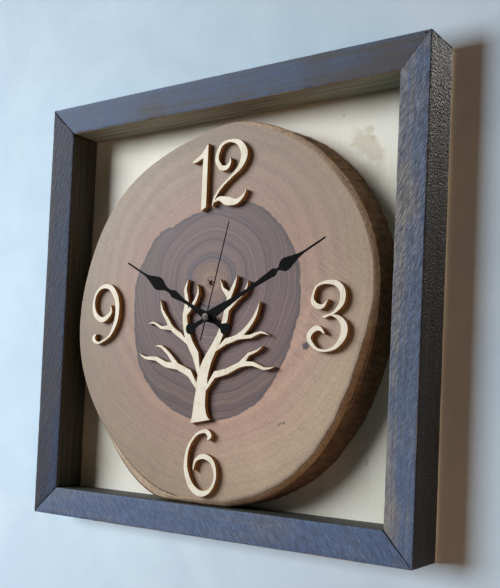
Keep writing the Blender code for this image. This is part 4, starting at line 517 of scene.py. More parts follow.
def sawn_end_grain():
    """Sanded end grain of a fruit tree: fine growth rings round the pith, a dark heart with a bluish rim,
    and faint saw marks across it. It has a low, uneven sheen."""
    made, add, place = new_finish("sawn_end_grain", 0.6)
    from_pith = add("Mapping", place, Location=(-PITH[0], 0, -PITH[1]), Scale=(1, 0, 1))
    pith_distance = add("VectorMath", from_pith, operation="LENGTH", out="Value")
    waver = add("TexNoise", from_pith, Scale=24.0, Detail=2.0)
    waved = add("Math", waver, 10 * MM, pith_distance, operation="MULTIPLY_ADD")
    # Growth rings about 1.7 mm wide, in groups of about 7 mm.
    rings, groups = (
        add("TexNoise", W=add("Math", waved, 1 / (width * MM), operation="MULTIPLY"), Scale=1.0, Detail=1.0,
            noise_dimensions="1D") for width in (1.7, 7))
    heart = add("MapRange", waved, 4 * MM, 92 * MM)
    heart_colour = add("ValToRGB", heart, stops=[(0.0, "#a3816a"), (0.1, "#a98a76"), (0.19, "#a08272"),
                                                 (0.22, "#8a7272"), (0.25, "#6e6168"), (0.29, "#8b7370"),
                                                 (0.5, "#89716f"), (0.62, "#806867"), (0.8, "#846d69"),
                                                 (1.0, "#7d6661")])
    # The heart ends in a ragged, bluish rim.
    heart_share = add("Attribute", attribute_name="heart_share", out="Fac")
    sap_colour = add("ValToRGB", add("MapRange", heart_share, 1.0, 1.8),
                     stops=[(0.0, "#c29e8b"), (0.2, "#c19f8d"), (0.4, "#bfa48f"), (0.75, "#bea88f"),
                            (1.0, "#b59f87")])
    in_heart = add("MapRange", heart_share, 1.006, 0.994)
    rim = add("MapRange", heart_share, 0.955, 0.99)
    rim_share = add("Math", add("Math", rim, in_heart, operation="MULTIPLY"), 0.62, operation="MULTIPLY")
    colour = add("MixRGB", in_heart, sap_colour, heart_colour)
    colour = add("MixRGB", rim_share, colour, "#454049")
    # The late wood of each ring is a darker, bluer line, strongest in the heart.
    ring_shade = add("ValToRGB", rings, stops=[(0.34, "#bcb3c2"), (0.6, "#fffaf3")])
    group_shade = add("ValToRGB", groups, stops=[(0.3, "#c3b9c4"), (0.7, "#fffbf4")])
    ring_share, group_share = (add("MapRange", in_heart, 0.0, 1.0, least, 0.85) for least in (0.1, 0.3))
    # The wood is greyer at its upper left and warmer at its lower right.
    side_x, side_z = (add("SeparateXYZ", place, out=axis) for axis in "XZ")
    down_right = add("Math", side_x, side_z, operation="SUBTRACT")
    warmth = add("MapRange", down_right, -155 * MM, 155 * MM)
    tint = add("ValToRGB", warmth, stops=[(0.0, "#d4d6d1"), (1.0, "#fdfbf3")])
    # It is darker at its upper right and its lower left.
    up_right = add("Math", side_x, side_z)
    across = add("MapRange", up_right, -165 * MM, 165 * MM)
    shade = add("ValToRGB", across, stops=[(0.0, "#e4e2e1"), (0.3, "#ffffff"), (0.68, "#ffffff"),
                                           (1.0, "#e6e2df")])
    # Rays: streaks that run out from the pith.
    rays = add("TexNoise", add("VectorMath", from_pith, operation="NORMALIZE"), Scale=12.0, Detail=3.0)
    ray_shade = add("ValToRGB", rays, stops=[(0.3, 0.95), (0.7, 1.03)])
    # Saw marks 1.2 mm apart in patches, and pores of 1 mm, coarser than the real ones.
    saw = add("TexNoise", add("Mapping", place, Rotation=(0, math.radians(35), 0),
                              Scale=(18 * MM, 1, 1.2 * MM), vector_type="TEXTURE"), Scale=1.0, Detail=2.0)
    saw_patch = add("TexNoise", place, Scale=14.0, Detail=1.0)
    saw_here = add("MapRange", saw_patch, 0.4, 0.65)
    saw_shade = add("ValToRGB", saw, stops=[(0.35, 0.84), (0.65, 1.08)])
    pore_place = add("Mapping", place, Rotation=(0.5, 0.7, 0.3), Scale=(MM, MM, MM), vector_type="TEXTURE")
    pores = add("TexNoise", pore_place, Scale=1.0, Detail=3.0)
    pore_shade = add("ValToRGB", pores, stops=[(0.3, 0.78), (0.5, 1.0), (0.7, 1.12)])
    for share, shading in ((ring_share, ring_shade), (group_share, group_shade), (1.0, tint), (1.0, shade),
                           (0.7, ray_shade), (saw_here, saw_shade), (1.0, pore_shade)):
        colour = add("MixRGB", share, colour, shading, blend_type="MULTIPLY")
    # One blue-black knot and a few pin knots.
    for x, z, radius in KNOTS:
        from_knot = add("Mapping", place, Location=(-x * MM, 0, -z * MM), Scale=(1, 0, 1))
        knot_distance = add("VectorMath", from_knot, operation="LENGTH", out="Value")
        knot_rough = add("Math", pores, 1.4 * MM, knot_distance, operation="MULTIPLY_ADD")
        knot = add("MapRange", knot_rough, (radius + 1.3) * MM, (radius + 0.2) * MM, 0.0, 0.9)
        colour = add("MixRGB", knot, colour, "#22222b")
    relief = add("Math", saw, saw_here, rings, operation="MULTIPLY_ADD")
    return surfaced(made, painted_split_shade(add, colour), (0.35, 0.12, relief), (0.3, 0.08, pores))


def torn_rim():
    """The outermost wood where the bark was torn off: pale brown, with its fibres along the trunk."""
    made, add, place = new_finish("torn_rim_wood", 0.8)
    fibre = add("TexNoise", add("Mapping", place, Scale=(1, 0.12, 1)), Scale=700.0, Detail=4.0, Roughness=0.6)
    broad = add("TexNoise", place, Scale=60.0, Detail=2.0)
    both = add("Math", broad, 0.5, fibre, operation="MULTIPLY_ADD")
    colour = add("ValToRGB", both, stops=[(0.45, "#84705a"), (0.62, "#a38c73"), (0.78, "#b89f84"),
                                          (0.95, "#cab598")])
    colour = painted_split_shade(add, colour)
    return surfaced(made, colour, (0.8, 0.5, fibre))


def dry_bark():
    """Dry bark: dark brown plates with lighter weathered skin, reddish where a plate has come off, and
    furrows along the trunk."""
    made, add, place = new_finish("dry_bark", 0.9)
    furrow = add("TexNoise", add("Mapping", place, Scale=(1, 0.3, 1)), Scale=230.0, Detail=6.0,
                 Roughness=0.65)
    plates = add("TexNoise", place, Scale=70.0, Detail=3.0)
    colour = add("ValToRGB", furrow, stops=[(0.3, "#5a4534"), (0.45, "#8a6e55"), (0.6, "#a5886a"),
                                            (0.78, "#c2a582")])
    red = add("MapRange", plates, 0.55, 0.66, 0.0, 0.7)
    red_colour = add("ValToRGB", furrow, stops=[(0.35, "#66422d"), (0.65, "#a5714f")])
    colour = add("MixRGB", red, colour, red_colour)
    # Paler towards the top: painted light where the bark faces up towards the light.
    height = add("SeparateXYZ", place, out="Z")
    upper = add("MapRange", height, -70 * MM, 70 * MM)
    painted_top_light = add("ValToRGB", upper, stops=[(0.0, "#b9aea3"), (1.0, "#ffffff")])
    colour = add("MixRGB", 1.0, colour, painted_top_light, blend_type="MULTIPLY")
    return surfaced(made, colour, (0.9, 1.2, furrow))


def star_tool():
    """Cutter for the small star-shaped shake at the pith."""
    reaches = (4.4, 1.6, 3.4, 1.5, 5.2, 1.7, 3.2, 1.4, 4.0, 1.6, 5.0, 1.5)
    shape = bmesh.new()
    loops = []
    for out, share in ((SLICE_FRONT - 2 * MM, 0.5), (SLICE_FRONT + 1 * MM, 1.15)):
        loops.append([shape.verts.new((PITH[0] + reach * share * MM * math.cos(math.tau * k / 12 + 0.3), -out,
                                       PITH[1] + reach * share * MM * math.sin(math.tau * k / 12 + 0.3)))
                      for k, reach in enumerate(reaches)])
        shape.faces.new(loops[-1])
    bridge(shape, *loops)
    return finished_mesh("pith_shake", shape)


log_slice = add_piece("log_slice", slice_mesh(), SLICE_MIDDLE)
for finish in (sawn_end_grain(), torn_rim(), dry_bark()):
    log_slice.data.materials.append(finish)
case_low, case_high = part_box("movement_case")
POCKET_PLAY = 1.5 * MM
POCKET_FLOOR = 18.3 * MM
pocket = block("pocket", case_low.x - POCKET_PLAY, case_high.x + POCKET_PLAY, SLICE_REAR - 1 * MM,
               POCKET_FLOOR, case_low.z - POCKET_PLAY, case_high.z + POCKET_PLAY)
bore = drawn([(0, 17), (4.2, 17), (4.2, 32), (0, 32)])
reshape(log_slice, [add_piece("pocket", pocket, (0, 0, 0)),
                    add_piece("bore", turned("bore", bore, 32), (2.5 * MM, 0, -176 * MM)),
                    add_piece("pith_shake", star_tool(), SLICE_MIDDLE)])
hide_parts("wood_slice")
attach(log_slice, "clock_body")


# Numerals and tree. Birch plywood, 3.6 mm thick, cut by laser and glued on. The faces are bare pale birch
# and the cut edges are burnt dark brown.
PLY_REAR = 31.3 * MM
PLY_FRONT = 34.9 * MM
PLY_EASE = 0.22 * MM
TWO_CURL = [
    (-0.5, 11, 0.25), (-0.8, 7, 1.2), (-3.3, 4, 1.9), (-6.4, 3.4, 2.1), (-9.7, 4.7, 2.05), (-13.2, 11.8, 1.8),
    (-9.6, 21.1, 1.5), (-1.7, 23.7, 1.2), (7, 21, 2.3), (12.1, 12.7, 3.15), (9, 3.3, 2.2), (1.5, -3.3, 1.2),
    (-7.8, -10.8, 1.1), (-13.9, -18.7, 1.1), (-15.7, -25, 0.45),
]
TWO_FOOT = [
    (-14.5, -21.8, 0.7), (-9.3, -19.6, 1.75), (-2, -22, 3.4), (6.5, -23.1, 2.2), (12.8, -19, 1.1),
    (15.1, -14.7, 0.3),
]
THREE_TOP = [
    (-0.5, 12, 0.25), (-3.5, 8, 1.25), (-6.5, 6.8, 1.85), (-9.7, 7.7, 2), (-12.2, 10, 1.85), (-13, 13.7, 1.3),
    (-10.3, 20.9, 0.95), (-3.5, 23.8, 1.3), (5.2, 22.9, 2.1), (10.5, 17.3, 2.4), (10.2, 9.3, 2.1),
    (4.8, 2.9, 1.15), (-0.4, 0.7, 0.9), (-2.5, 0, 1.15), (-4.8, -0.6, 0.35),
]
THREE_BOWL = [
    (2.4, 0.9, 0.5), (8.2, -1, 1.7), (12.6, -6.6, 2.7), (12.2, -13.8, 2.55), (7, -20.7, 1.65),
    (-0.4, -23.6, 1.05), (-8.3, -22.5, 1.2), (-14.2, -16.4, 1.8), (-14, -11.8, 2.05), (-9.6, -8.2, 2.05),
    (-5.6, -8.8, 1.5), (-2.3, -12.2, 0.5),
]
SIX_STROKE = [
    (6, 17.4, 0.5), (7.7, 20.8, 2.1), (5.6, 23.6, 2), (1.8, 24.1, 1.5), (-5.1, 20.9, 1.1), (-11.3, 12.5, 1.3),
    (-13.8, 2.3, 1.65), (-12.9, -7.7, 2.1), (-7.8, -17.7, 2.6), (0.5, -22.7, 2.6), (8.9, -20.5, 1.65),
    (13.8, -13, 1.2), (13.9, -4.5, 1.55), (9.9, 2.7, 2.1), (2.6, 5.2, 2.1), (-4, 2.3, 1.35),
    (-6.1, -3.2, 0.8), (-5.9, -6.2, 0.3),
]
NINE_STROKE = [
    (5.5, 7.2, 0.25), (5.4, 0.8, 1.5), (-2.8, -4.7, 2.25), (-10.8, -1, 2.2), (-14, 7.5, 1.5),
    (-11.9, 17, 1.2), (-5.2, 22.6, 1.65), (3.8, 22, 2.3), (10.5, 14.2, 2.55), (12.8, 3.8, 2.3),
    (11.2, -7.5, 1.9), (5.1, -18.1, 1.15), (-4.9, -23.6, 0.9), (-9, -23.5, 1.3), (-12, -21.6, 1.8),
    (-12, -18.8, 1.6), (-10.4, -17.3, 0.8), (-8.9, -16.9, 0.3),
]
ONE_OUTLINE = [
    (6.3, 26), (6.5, -23.5), (4.5, -24.7), (2.2, -26.2), (1.4, -24.5), (1.5, 15.1), (-3.5, 12.5),
    (-7.5, 11.6), (-8.6, 13), (-7.8, 14), (-4, 16), (-0.5, 18.2), (2.5, 21.5), (4.5, 24.3),
]
# A limb is its run, the shoots on its left and those on its right, each under the number of the point where
# it leaves.
TREE = (
    [(0, 0, 9.5), (-0.8, 5, 7), (-1.2, 13, 5.6), (-0.2, 24, 4.9), (0.8, 34, 4.9), (4, 45, 4.2),
     (9.5, 55, 3.3), (14.5, 64, 2.9), (18.5, 74, 2.6), (20.5, 84, 2.3), (22, 93, 2), (26, 102, 1.5),
     (29, 110, 0.3)],
    {3: ([(-12, 36.5, 2.9), (-24, 41.5, 2.6), (-36, 43, 2.3), (-46, 47.5, 1.8), (-57, 48, 1.2),
          (-64, 52, 0.3)], {}, {1: ([(-33, 51, 1.6), (-41, 57, 1.2), (-47.5, 57.5, 0.3)], {}, {})}),
     4: ([(-7, 51, 3.4), (-13, 60, 3), (-17, 70, 2.7), (-19, 81, 2.3), (-17.5, 92, 1.9), (-19.5, 101, 1.5),
          (-17, 109, 0.3)],
         {1: ([(-23, 66, 2.2), (-31, 71, 1.9), (-37, 79, 1.6), (-42, 86, 1.2), (-44, 94, 0.3)],
              {1: ([(-42, 72, 1.3), (-50, 76, 0.9), (-56, 75, 0.3)], {}, {})}, {})},
         {3: ([(-11, 90, 1.5), (-7, 98, 1.1), (-8, 105, 0.3)], {}, {})}),
     10: ([(16, 101, 1.2), (13.5, 108, 0.3)], {}, {})},
    {3: ([(12, 36, 2.7), (23, 38.5, 2.4), (34, 43.5, 2.1), (46, 44.5, 1.7), (56, 41, 1.2), (65, 42.5, 0.3)],
         {2: ([(42, 51.5, 1.3), (49, 54, 0.9), (54, 57.5, 0.3)], {}, {})}, {}),
     6: ([(21, 61, 2.4), (31, 64, 2.1), (40, 71, 1.8), (46.5, 80, 1.4), (50, 90, 0.3)],
         {}, {1: ([(43, 64.5, 1.5), (52, 67.5, 1), (60, 65, 0.3)], {}, {})}),
     9: ([(29.5, 92.5, 1.6), (36.5, 98, 1.2), (39, 106, 0.3)], {}, {})},
)


def between(before, start, end, after, share):
    """Point on a smooth curve through four neighbours, a share of the way from start to end."""
    point = []
    for a, b, c, d in zip(before, start, end, after):
        point.append(0.5 * (2 * b + (c - a) * share + (2 * a - 5 * b + 4 * c - d) * share ** 2
                            + (3 * b - a - 3 * c + d) * share ** 3))
    return tuple(point)


def smooth_run(run, steps):
    """The run with extra points on a smooth curve between each pair."""
    first = tuple(2 * a - b for a, b in zip(run[0], run[1]))
    last = tuple(2 * a - b for a, b in zip(run[-1], run[-2]))
    padded = [first] + list(run) + [last]
    points = []
    for k in range(1, len(padded) - 2):
        for step in range(steps):
            points.append(between(*padded[k - 1:k + 3], step / steps))
    points.append(run[-1])
    return points


def run_sides(run):
    """Left and right edge points of a run of (x, z, half width)."""
    left, right = [], []
    for k, (x, z, half_width) in enumerate(run):
        before = run[max(k - 1, 0)]
        after = run[min(k + 1, len(run) - 1)]
        ahead_x, ahead_z = after[0] - before[0], after[1] - before[1]
        length = math.hypot(ahead_x, ahead_z)
        side_x, side_z = -ahead_z / length * half_width, ahead_x / length * half_width
        left.append((x + side_x, z + side_z))
        right.append((x - side_x, z - side_z))
    return left, right


def stroke(run):
    """Closed outline of a pen stroke of a numeral."""
    left, right = run_sides(drawn(smooth_run(run, 8)))
    return right + left[::-1]


def limb_outline(limb):
    """Outline of a limb from its left foot round its tip to its right foot, with all its shoots."""
    steps = 2
    run, left_shoots, right_shoots = limb
    left, right = run_sides(smooth_run(run, steps))
    up, down = [], []
    for k, point in enumerate(left[:-1]):
        up.append(point)
        if k % steps == 0 and k // steps in left_shoots:
            up += limb_outline(left_shoots[k // steps])
    for k, point in enumerate(right[:-1]):
        if k % steps == 1 and k // steps in right_shoots:
            down = limb_outline(right_shoots[k // steps]) + down
        down = [point] + down
    tip = tuple((a + b) / 2 for a, b in zip(left[-1], right[-1]))
    return up + [tip] + down


def inset(outline, reach):
    """The outline moved to its left, which is into the material for one that runs anticlockwise."""
    moved = []
    for k, (x, z) in enumerate(outline):
        before, after = outline[k - 1], outline[(k + 1) % len(outline)]
        ahead = Vector((after[0] - before[0], after[1] - before[1])).normalized()
        moved.append((x - ahead.y * reach, z + ahead.x * reach))
    return moved


def anticlockwise(outline):
    area = sum(a[0] * b[1] - b[0] * a[1] for a, b in zip(outline, outline[1:] + outline[:1]))
    return outline if area > 0 else outline[::-1]


def stacked(name, levels):
    """Closed solid through levels of (outline, bore outline or None, out), from the back. Two levels at the
    same height are joined flat, and the others by a wall."""
    shape = bmesh.new()

    def ring(outline, out):
        if outline is None:
            return []
        corners = [shape.verts.new((x, -out, z)) for x, z in outline]
        for first, second in zip(corners, corners[1:] + corners[:1]):
            shape.edges.new((first, second))
        return corners

    def fill(rings):
        edges = []
        for corners in rings:
            for first, second in zip(corners, corners[1:] + corners[:1]):
                edges.append(shape.edges.get((first, second)))
        bmesh.ops.triangle_fill(shape, use_beauty=True, edges=edges, normal=(0, -1, 0))

    outer = ring(levels[0][0], levels[0][2])
    bore = ring(levels[0][1], levels[0][2])
    fill([r for r in (outer, bore) if r])
    for before, level in zip(levels, levels[1:]):
        if before[2] == level[2]:
            next_outer = ring(level[0], level[2])
            fill([outer, next_outer])
            outer = next_outer
            continue
        next_outer, next_bore = ring(level[0], level[2]), ring(level[1], level[2])
        bridge(shape, outer, next_outer)
        bridge(shape, bore, next_bore)
        outer, bore = next_outer, next_bore
    fill([r for r in (outer, bore) if r])
    return finished_mesh(name, shape)


def birch_face():
    """Bare birch veneer: pale cream with faint grain and a slightly rough face."""
    made, add, place = new_finish("bare_birch_veneer", 0.7)
    grain = add("TexNoise", add("Mapping", place, Scale=(700, 1, 60)), Scale=1.0, Detail=3.0)
    cloud = add("TexNoise", place, Scale=90.0, Detail=2.0)
    both = add("Math", cloud, grain)
    colour = add("ValToRGB", both, stops=[(0.6, "#d6ccae"), (0.95, "#e9e0c6"), (1.0, "#f1e9d3")])
    return surfaced(made, colour, (0.25, 0.1, grain))


def burnt_edge():
    """Ply edge charred by the laser: dark brown, lighter in the middle ply, with fine upright marks."""
    made, add, place = new_finish("laser_burnt_edge", 0.75)
    mark = add("TexNoise", place, Scale=900.0, Detail=2.0)
    out = add("SeparateXYZ", place, out="Y")
    ply = add("Math", out, math.pi / (1.2 * MM), operation="MULTIPLY")
    band = add("Math", ply, operation="SINE")
    both = add("Math", band, 0.18, mark, operation="MULTIPLY_ADD")
    colour = add("ValToRGB", both, stops=[(0.3, "#6b4926"), (0.5, "#9c7140"), (0.75, "#caa169")])
    return surfaced(made, colour, (0.4, 0.1, mark))


birch, burnt = birch_face(), burnt_edge()


def fretted(name, node, outlines, place):
    """A plywood piece from one or more overlapping outlines round its own middle."""
    parts = []
    for number, outline in enumerate(outlines):
        outline = anticlockwise(outline)
        parts.append(add_piece(name + "_" + str(number), stacked(name, [
            (outline, None, PLY_REAR), (outline, None, PLY_FRONT - PLY_EASE),
            (inset(outline, PLY_EASE), None, PLY_FRONT)]), (0, 0, 0)))
    piece = parts[0]
    piece.name = name
    if len(parts) > 1:
        reshape(piece, parts[1:], "UNION")
    piece.location = (SLICE_MIDDLE[0] + place[0] * MM, 0, SLICE_MIDDLE[2] + place[1] * MM)
    piece.data.materials.clear()
    piece.data.materials.append(birch)
    piece.data.materials.append(burnt)
    for face in piece.data.polygons:
        face.material_index = 0 if abs(face.normal.y) > 0.9 else 1
    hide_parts(node)
    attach(piece, "clock_body")


fretted("one", "numeral_one", [drawn(ONE_OUTLINE)], (-13, 104.5))
fretted("two", "numeral_two", [stroke(TWO_CURL), stroke(TWO_FOOT)], (15, 106))
fretted("three", "numeral_three", [stroke(THREE_TOP), stroke(THREE_BOWL)], (103.5, -5))
fretted("six", "numeral_six", [stroke(SIX_STROKE)], (-1.5, -114))
fretted("nine", "numeral_nine", [stroke(NINE_STROKE)], (-106, 1))
fretted("bare_tree", "tree_emblem", [drawn(limb_outline(TREE))], (-3.5, -83))


# Backing panel. Birch plywood, 4 mm thick, screwed into the rails' rebates from behind. Its front is bare
# pale birch, stained in blotches where oil ran down at the right, and its back is raw.
def panel_ply():
    """Pale birch ply: creamy and smooth with faint clouds, some tan blotches and specks, and fine grain."""
    made, add, place = new_finish("bare_birch_ply_panel", 0.55)
    # Clouds about 60 mm across, and grain 0.8 mm wide and 30 mm long that runs upwards.
    cloud = add("TexNoise", place, Scale=16.0, Detail=3.0)
    grain = add("TexNoise", add("Mapping", place, Scale=(0.8 * MM, 1, 30 * MM), vector_type="TEXTURE"),
                Scale=1.0, Detail=3.0)
    both = add("Math", grain, 0.3, cloud, operation="MULTIPLY_ADD")
    colour = add("ValToRGB", both, stops=[(0.45, "#d8d2bc"), (0.62, "#e4e1d0"), (0.8, "#ebe8da")])
    # Oil blotches: middle x and z, half length and half width in mm, turn in degrees and strength.
    ragged = add("TexNoise", place, Scale=120.0, Detail=4.0)
    for x, z, long, wide, turn, strength in (
            (116, -53, 19, 7, 41, 0.7), (116.5, -40, 4, 3, 0, 0.6), (119, -72, 14, 7, 20, 0.4),
            (103, -49.5, 2.5, 2, 0, 0.6), (119.5, -46.5, 1.6, 1.4, 0, 0.7), (95.5, -27, 1.8, 1.5, 0, 0.7),
            (89, -300, 2, 2, 0, 0.7), (124, -277, 2, 3, 0, 0.7)):
        spot = add("Mapping", place, Location=(x * MM, 0, z * MM), Rotation=(0, math.radians(turn), 0),
                   Scale=(long * MM, 1, wide * MM), vector_type="TEXTURE")
        distance = add("VectorMath", spot, operation="LENGTH", out="Value")
        frayed = add("Math", ragged, 1.6, distance, operation="MULTIPLY_ADD")
        blotch = add("MapRange", frayed, 1.9, 1.45, 0.0, strength)
        colour = add("MixRGB", blotch, colour, "#c4b799")
    # The back is raw and yellower.
    out = add("SeparateXYZ", place, out="Y")
    is_back = add("Math", out, -3 * MM, operation="GREATER_THAN")
    raw = add("ValToRGB", both, stops=[(0.4, "#c6ab7f"), (0.6, "#d1b98f"), (0.8, "#d9c59f")])
    colour = add("MixRGB", is_back, colour, raw)
    return surfaced(made, colour, (0.3, 0.1, grain))


def dress(finish, *names):
    """Gives CAD nodes a finish."""
    for name in names:
        for material_slot in nodes[name].material_slots:
            material_slot.material = finish


dress(panel_ply(), "backing_panel")


# Fixings. Zinc-plated brads in the mitres, a sawtooth hanger on two bright pins, and small zinc-plated
# countersunk screws that hold the panel to the rails and the slice to the panel.
def grained(name, dark, pale, grain, roughness, metallic=0.0, relief=0.04, detail=3.0):
    """A finish with one grain. The grain's size is in mm along X, Y and Z, and its relief is in mm."""
    made, add, place = new_finish(name, roughness, metallic)
    grain_place = add("Mapping", place, Rotation=(0.02, 0.03, 0.02), Scale=[size * MM for size in grain],
                      vector_type="TEXTURE")
    fleck = add("TexNoise", grain_place, Scale=1.0, Detail=detail)
    colour = add("ValToRGB", fleck, stops=[(0.33, dark), (0.67, pale)])
    rough = add("MapRange", fleck, 0.3, 0.7, roughness + 0.08, roughness - 0.08)
    return surfaced(made, colour, (0.6, relief, fleck), rough=rough)


# Zinc plate: dull bluish silver in soft flecks of 1.5 mm.
zinc_plate = grained("dull_zinc_plate", "#7d8286", "#a9adae", (1.5, 1.5, 1.5), 0.52, metallic=1.0)
# Drawn steel: bright grey with fine lines along it.
bright_steel = grained("bright_drawn_steel", "#94928e", "#c2c0bb", (0.3, 2.5, 0.3), 0.3, metallic=1.0)
dress(zinc_plate, "sawtooth_hanger", *[name for name in nodes if "brad" in name or "screw" in name])
dress(bright_steel, "hanger_pin_left", "hanger_pin_right")


# Clock movement's case. A tub and a snap-in cover in black ABS, moulded with a fine spark texture, stuck to
# the slice through a square of black foam. The same plastic makes the setting knob.
moulded_abs = grained("spark_textured_black_abs", "#131314", "#242425", (0.5, 0.5, 0.5), 0.55, relief=0.06)
# Foam: dead black and full of open cells of 0.7 mm.
foam = grained("open_cell_black_foam", "#0b0b0b", "#2a2a2a", (0.7, 0.7, 0.7), 0.95, relief=0.4, detail=1.0)
dress(moulded_abs, "movement_case", "movement_cover", "setting_knob")
dress(foam, "adhesive_pad")


# Battery. A size AA cell in a printed plastic sleeve with no wording, held by two sprung contacts of plated
# steel strip.
def sleeve_film():
    """Shrunk plastic film: dark grey with a copper band at one end, glossy and finely wrinkled."""
    made, add, place = new_finish("shrunk_film_sleeve", 0.28)
    wrinkle = add("TexNoise", add("Mapping", place, Scale=(9 * MM, 2 * MM, 2 * MM), vector_type="TEXTURE"),
                  Scale=1.0, Detail=3.0)
    body = add("ValToRGB", wrinkle, stops=[(0.3, "#2c2e31"), (0.7, "#3d4044")])
    band = add("ValToRGB", wrinkle, stops=[(0.3, "#9a5f35"), (0.7, "#b87c4c")])
    low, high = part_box("battery")
    along = add("SeparateXYZ", place, out="X")
    in_band = add("MapRange", along, high.x - 16.1 * MM, high.x - 15.9 * MM)
    colour = add("MixRGB", in_band, body, band)
    # The two ends are bare plated steel.
    steel = "#a7a7a3"
    for place_x, toward in ((low.x, 1), (high.x, -1)):
        end = add("MapRange", along, place_x + toward * 0.9 * MM, place_x + toward * 0.7 * MM)
        colour = add("MixRGB", end, colour, steel)
    return surfaced(made, colour, (0.4, 0.08, wrinkle))


dress(sleeve_film(), "battery")
dress(zinc_plate, "battery_contact_negative", "battery_contact_positive")


# Motor and circuit. A stator and a core of pressed silicon steel, a bobbin wound with enamelled copper wire,
# and a small laminate board with a chip under a drop of resin and a quartz crystal in a steel can.
# Lacquered silicon steel: mid grey, matt, with faint rolling lines.
lamination = grained("lacquered_silicon_steel", "#6f7173", "#8f9192", (3.0, 0.5, 0.4), 0.45, metallic=1.0)
# Wire: orange-brown turns 0.3 mm apart, coarser than the real 0.1 mm.
copper_wire = grained("enamelled_copper_wire", "#7d3a1c", "#cf7d45", (9.0, 9.0, 0.3), 0.32, metallic=0.7,
                      relief=0.12, detail=1.0)
# Board: brown paper laminate under a green mask, with a faint weave.
laminate = grained("green_masked_laminate", "#234a33", "#3a6a48", (0.9, 0.9, 0.5), 0.4)
# Resin: black, smooth and slightly domed.
resin = grained("black_potting_resin", "#101011", "#1c1c1d", (2.0, 2.0, 2.0), 0.25)
# Acetal: milky white, dense and waxy, with faint flow marks.
acetal = grained("natural_white_acetal", "#cdc9bd", "#e4e1d6", (1.8, 1.8, 1.8), 0.4, relief=0.02)
dress(lamination, "stator", "coil_core")
dress(acetal, "coil_bobbin")
dress(copper_wire, "coil_winding")
dress(laminate, "circuit_board")
dress(resin, "circuit_chip")
dress(bright_steel, "quartz_crystal")


# Gear train. Moulded acetal wheels on their arbors, with a brass centre wheel whose tube carries the minute
# hand and takes the nut.
# Turned brass: yellow with fine rings left by the tool.
turned_brass = grained("turned_brass", "#a67e36", "#d0aa5e", (4.0, 0.25, 4.0), 0.3, metallic=1.0)
dress(acetal, "rotor", "intermediate_wheel", "second_wheel", "third_wheel", "minute_wheel", "hour_wheel")
dress(turned_brass, "centre_wheel")
dress(bright_steel, "minute_nut")


# Hands. Thin steel stampings, painted flat black. The hour and minute hands are pressed on their tubes, and a
# small turned boss caps the second hand.
DIAL_AXIS = (2.5 * MM, 0, -176 * MM)
HAND_EASE = 0.08 * MM
MINUTE_ARM = [
    (-11, 1.9), (-8, 1.6), (-4.5, 1.9), (-2, 3), (0, 3.9), (3, 4.1), (6, 3.9), (12, 3.35),
]
MINUTE_TAPER = [(0.24, 2.6), (0.55, 1.75), (0.79, 1.35)]
MINUTE_SPADE = [
    (68.5, 1.5), (58.5, 2.1), (51.5, 2.6), (48, 2.9), (46.6, 2.7), (45, 1.4), (43.5, 1.1), (42.4, 1.4),
    (41, 2.7), (39.4, 4.1), (37.5, 4.8), (35.2, 4.8), (31.5, 3.6), (27.5, 2.4), (23.5, 1.4), (19.5, 0.8),
]
HOUR_ARM = [
    (-12, 1.9), (-9, 1.6), (-5, 1.9), (-2.2, 2.9), (0, 3.7), (3, 3.6), (6, 2.95), (12, 2.2),
]
HOUR_TAPER = [(0.34, 1.65), (0.73, 1.3)]
HOUR_SPADE = [
    (66, 1.6), (61, 2.5), (57.4, 3.05), (55.2, 2.9), (53, 1.9), (50, 1.5), (47, 1.7), (44, 2.9), (41, 4.4),
    (38.4, 5.1), (36, 5), (32, 3.7), (28, 2.3), (24, 1.2), (20, 0.8),
]


def black_paint():
    """Flat black paint on stamped steel: an even matt black with a faint grain and a soft sheen."""
    made, add, place = new_finish("matt_black_painted_steel", 0.8, specular=0.08)
    grain = add("TexNoise", place, Scale=1800.0, Detail=2.0)
    colour = add("ValToRGB", grain, stops=[(0.3, "#040405"), (0.7, "#0a0a0b")])
    rough = add("MapRange", grain, 0.0, 1.0, 0.7, 0.9)
    return surfaced(made, colour, (0.2, 0.05, grain), rough=rough)


def ring_outline(radius, sides):
    return [(radius * MM * math.cos(math.tau * k / sides), radius * MM * math.sin(math.tau * k / sides))
            for k in range(sides)]


def tail_bulb(tail):
    """Round end of a hand's tail, as (distance, half width) points."""
    points = []
    for degrees in range(10, 151, 10):
        angle = math.radians(degrees)
        points.append((-tail - 4.45 * math.cos(angle), 4.45 * math.sin(angle)))
    return [(-tail - 4.45, 0.0)] + points


def spade_outline(tail, arm, taper, spade, length):
    """Closed outline of a spade hand that points up. Its taper fills what its arm and its spade leave."""
    far = [(length - distance, half_width) for distance, half_width in spade]
    start, end = arm[-1][0], far[0][0]
    middle = [(start + share * (end - start), half_width) for share, half_width in taper]
    points = tail_bulb(tail) + smooth_run(arm + middle + far, 4) + [(length - 0.6, 0.6), (length, 0.0)]
    right = [(half_width, distance) for distance, half_width in points if half_width > 0]
    left = [(-x, z) for x, z in right[::-1]]
    return drawn(right + [(0.0, length)] + left + [(0.0, points[0][0])])


def hand(name, outline, bore_radius, collet_radius, rear, front, degrees, body):
    """A stamped hand on its collet, set at its angle clockwise from twelve."""
    outline = anticlockwise(outline)
    bore = ring_outline(bore_radius, 32)[::-1]
    levels = [(outline, bore, rear * MM), (outline, bore, front * MM - HAND_EASE),
              (inset(outline, HAND_EASE), inset(bore, HAND_EASE), front * MM)]
    if collet_radius:
        collet = ring_outline(collet_radius, 32)
        levels = [(collet, bore, (rear - 0.7) * MM), (collet, bore, rear * MM)] + levels
    piece = add_piece(name, stacked(name, levels), DIAL_AXIS, (0, math.radians(degrees), 0))
    piece.data.materials.append(black)
    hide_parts(body[1])
    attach(piece, body[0])
    # In the room's soft light the hands' shadows can hardly be seen, so they are left out.
    piece.visible_shadow = False


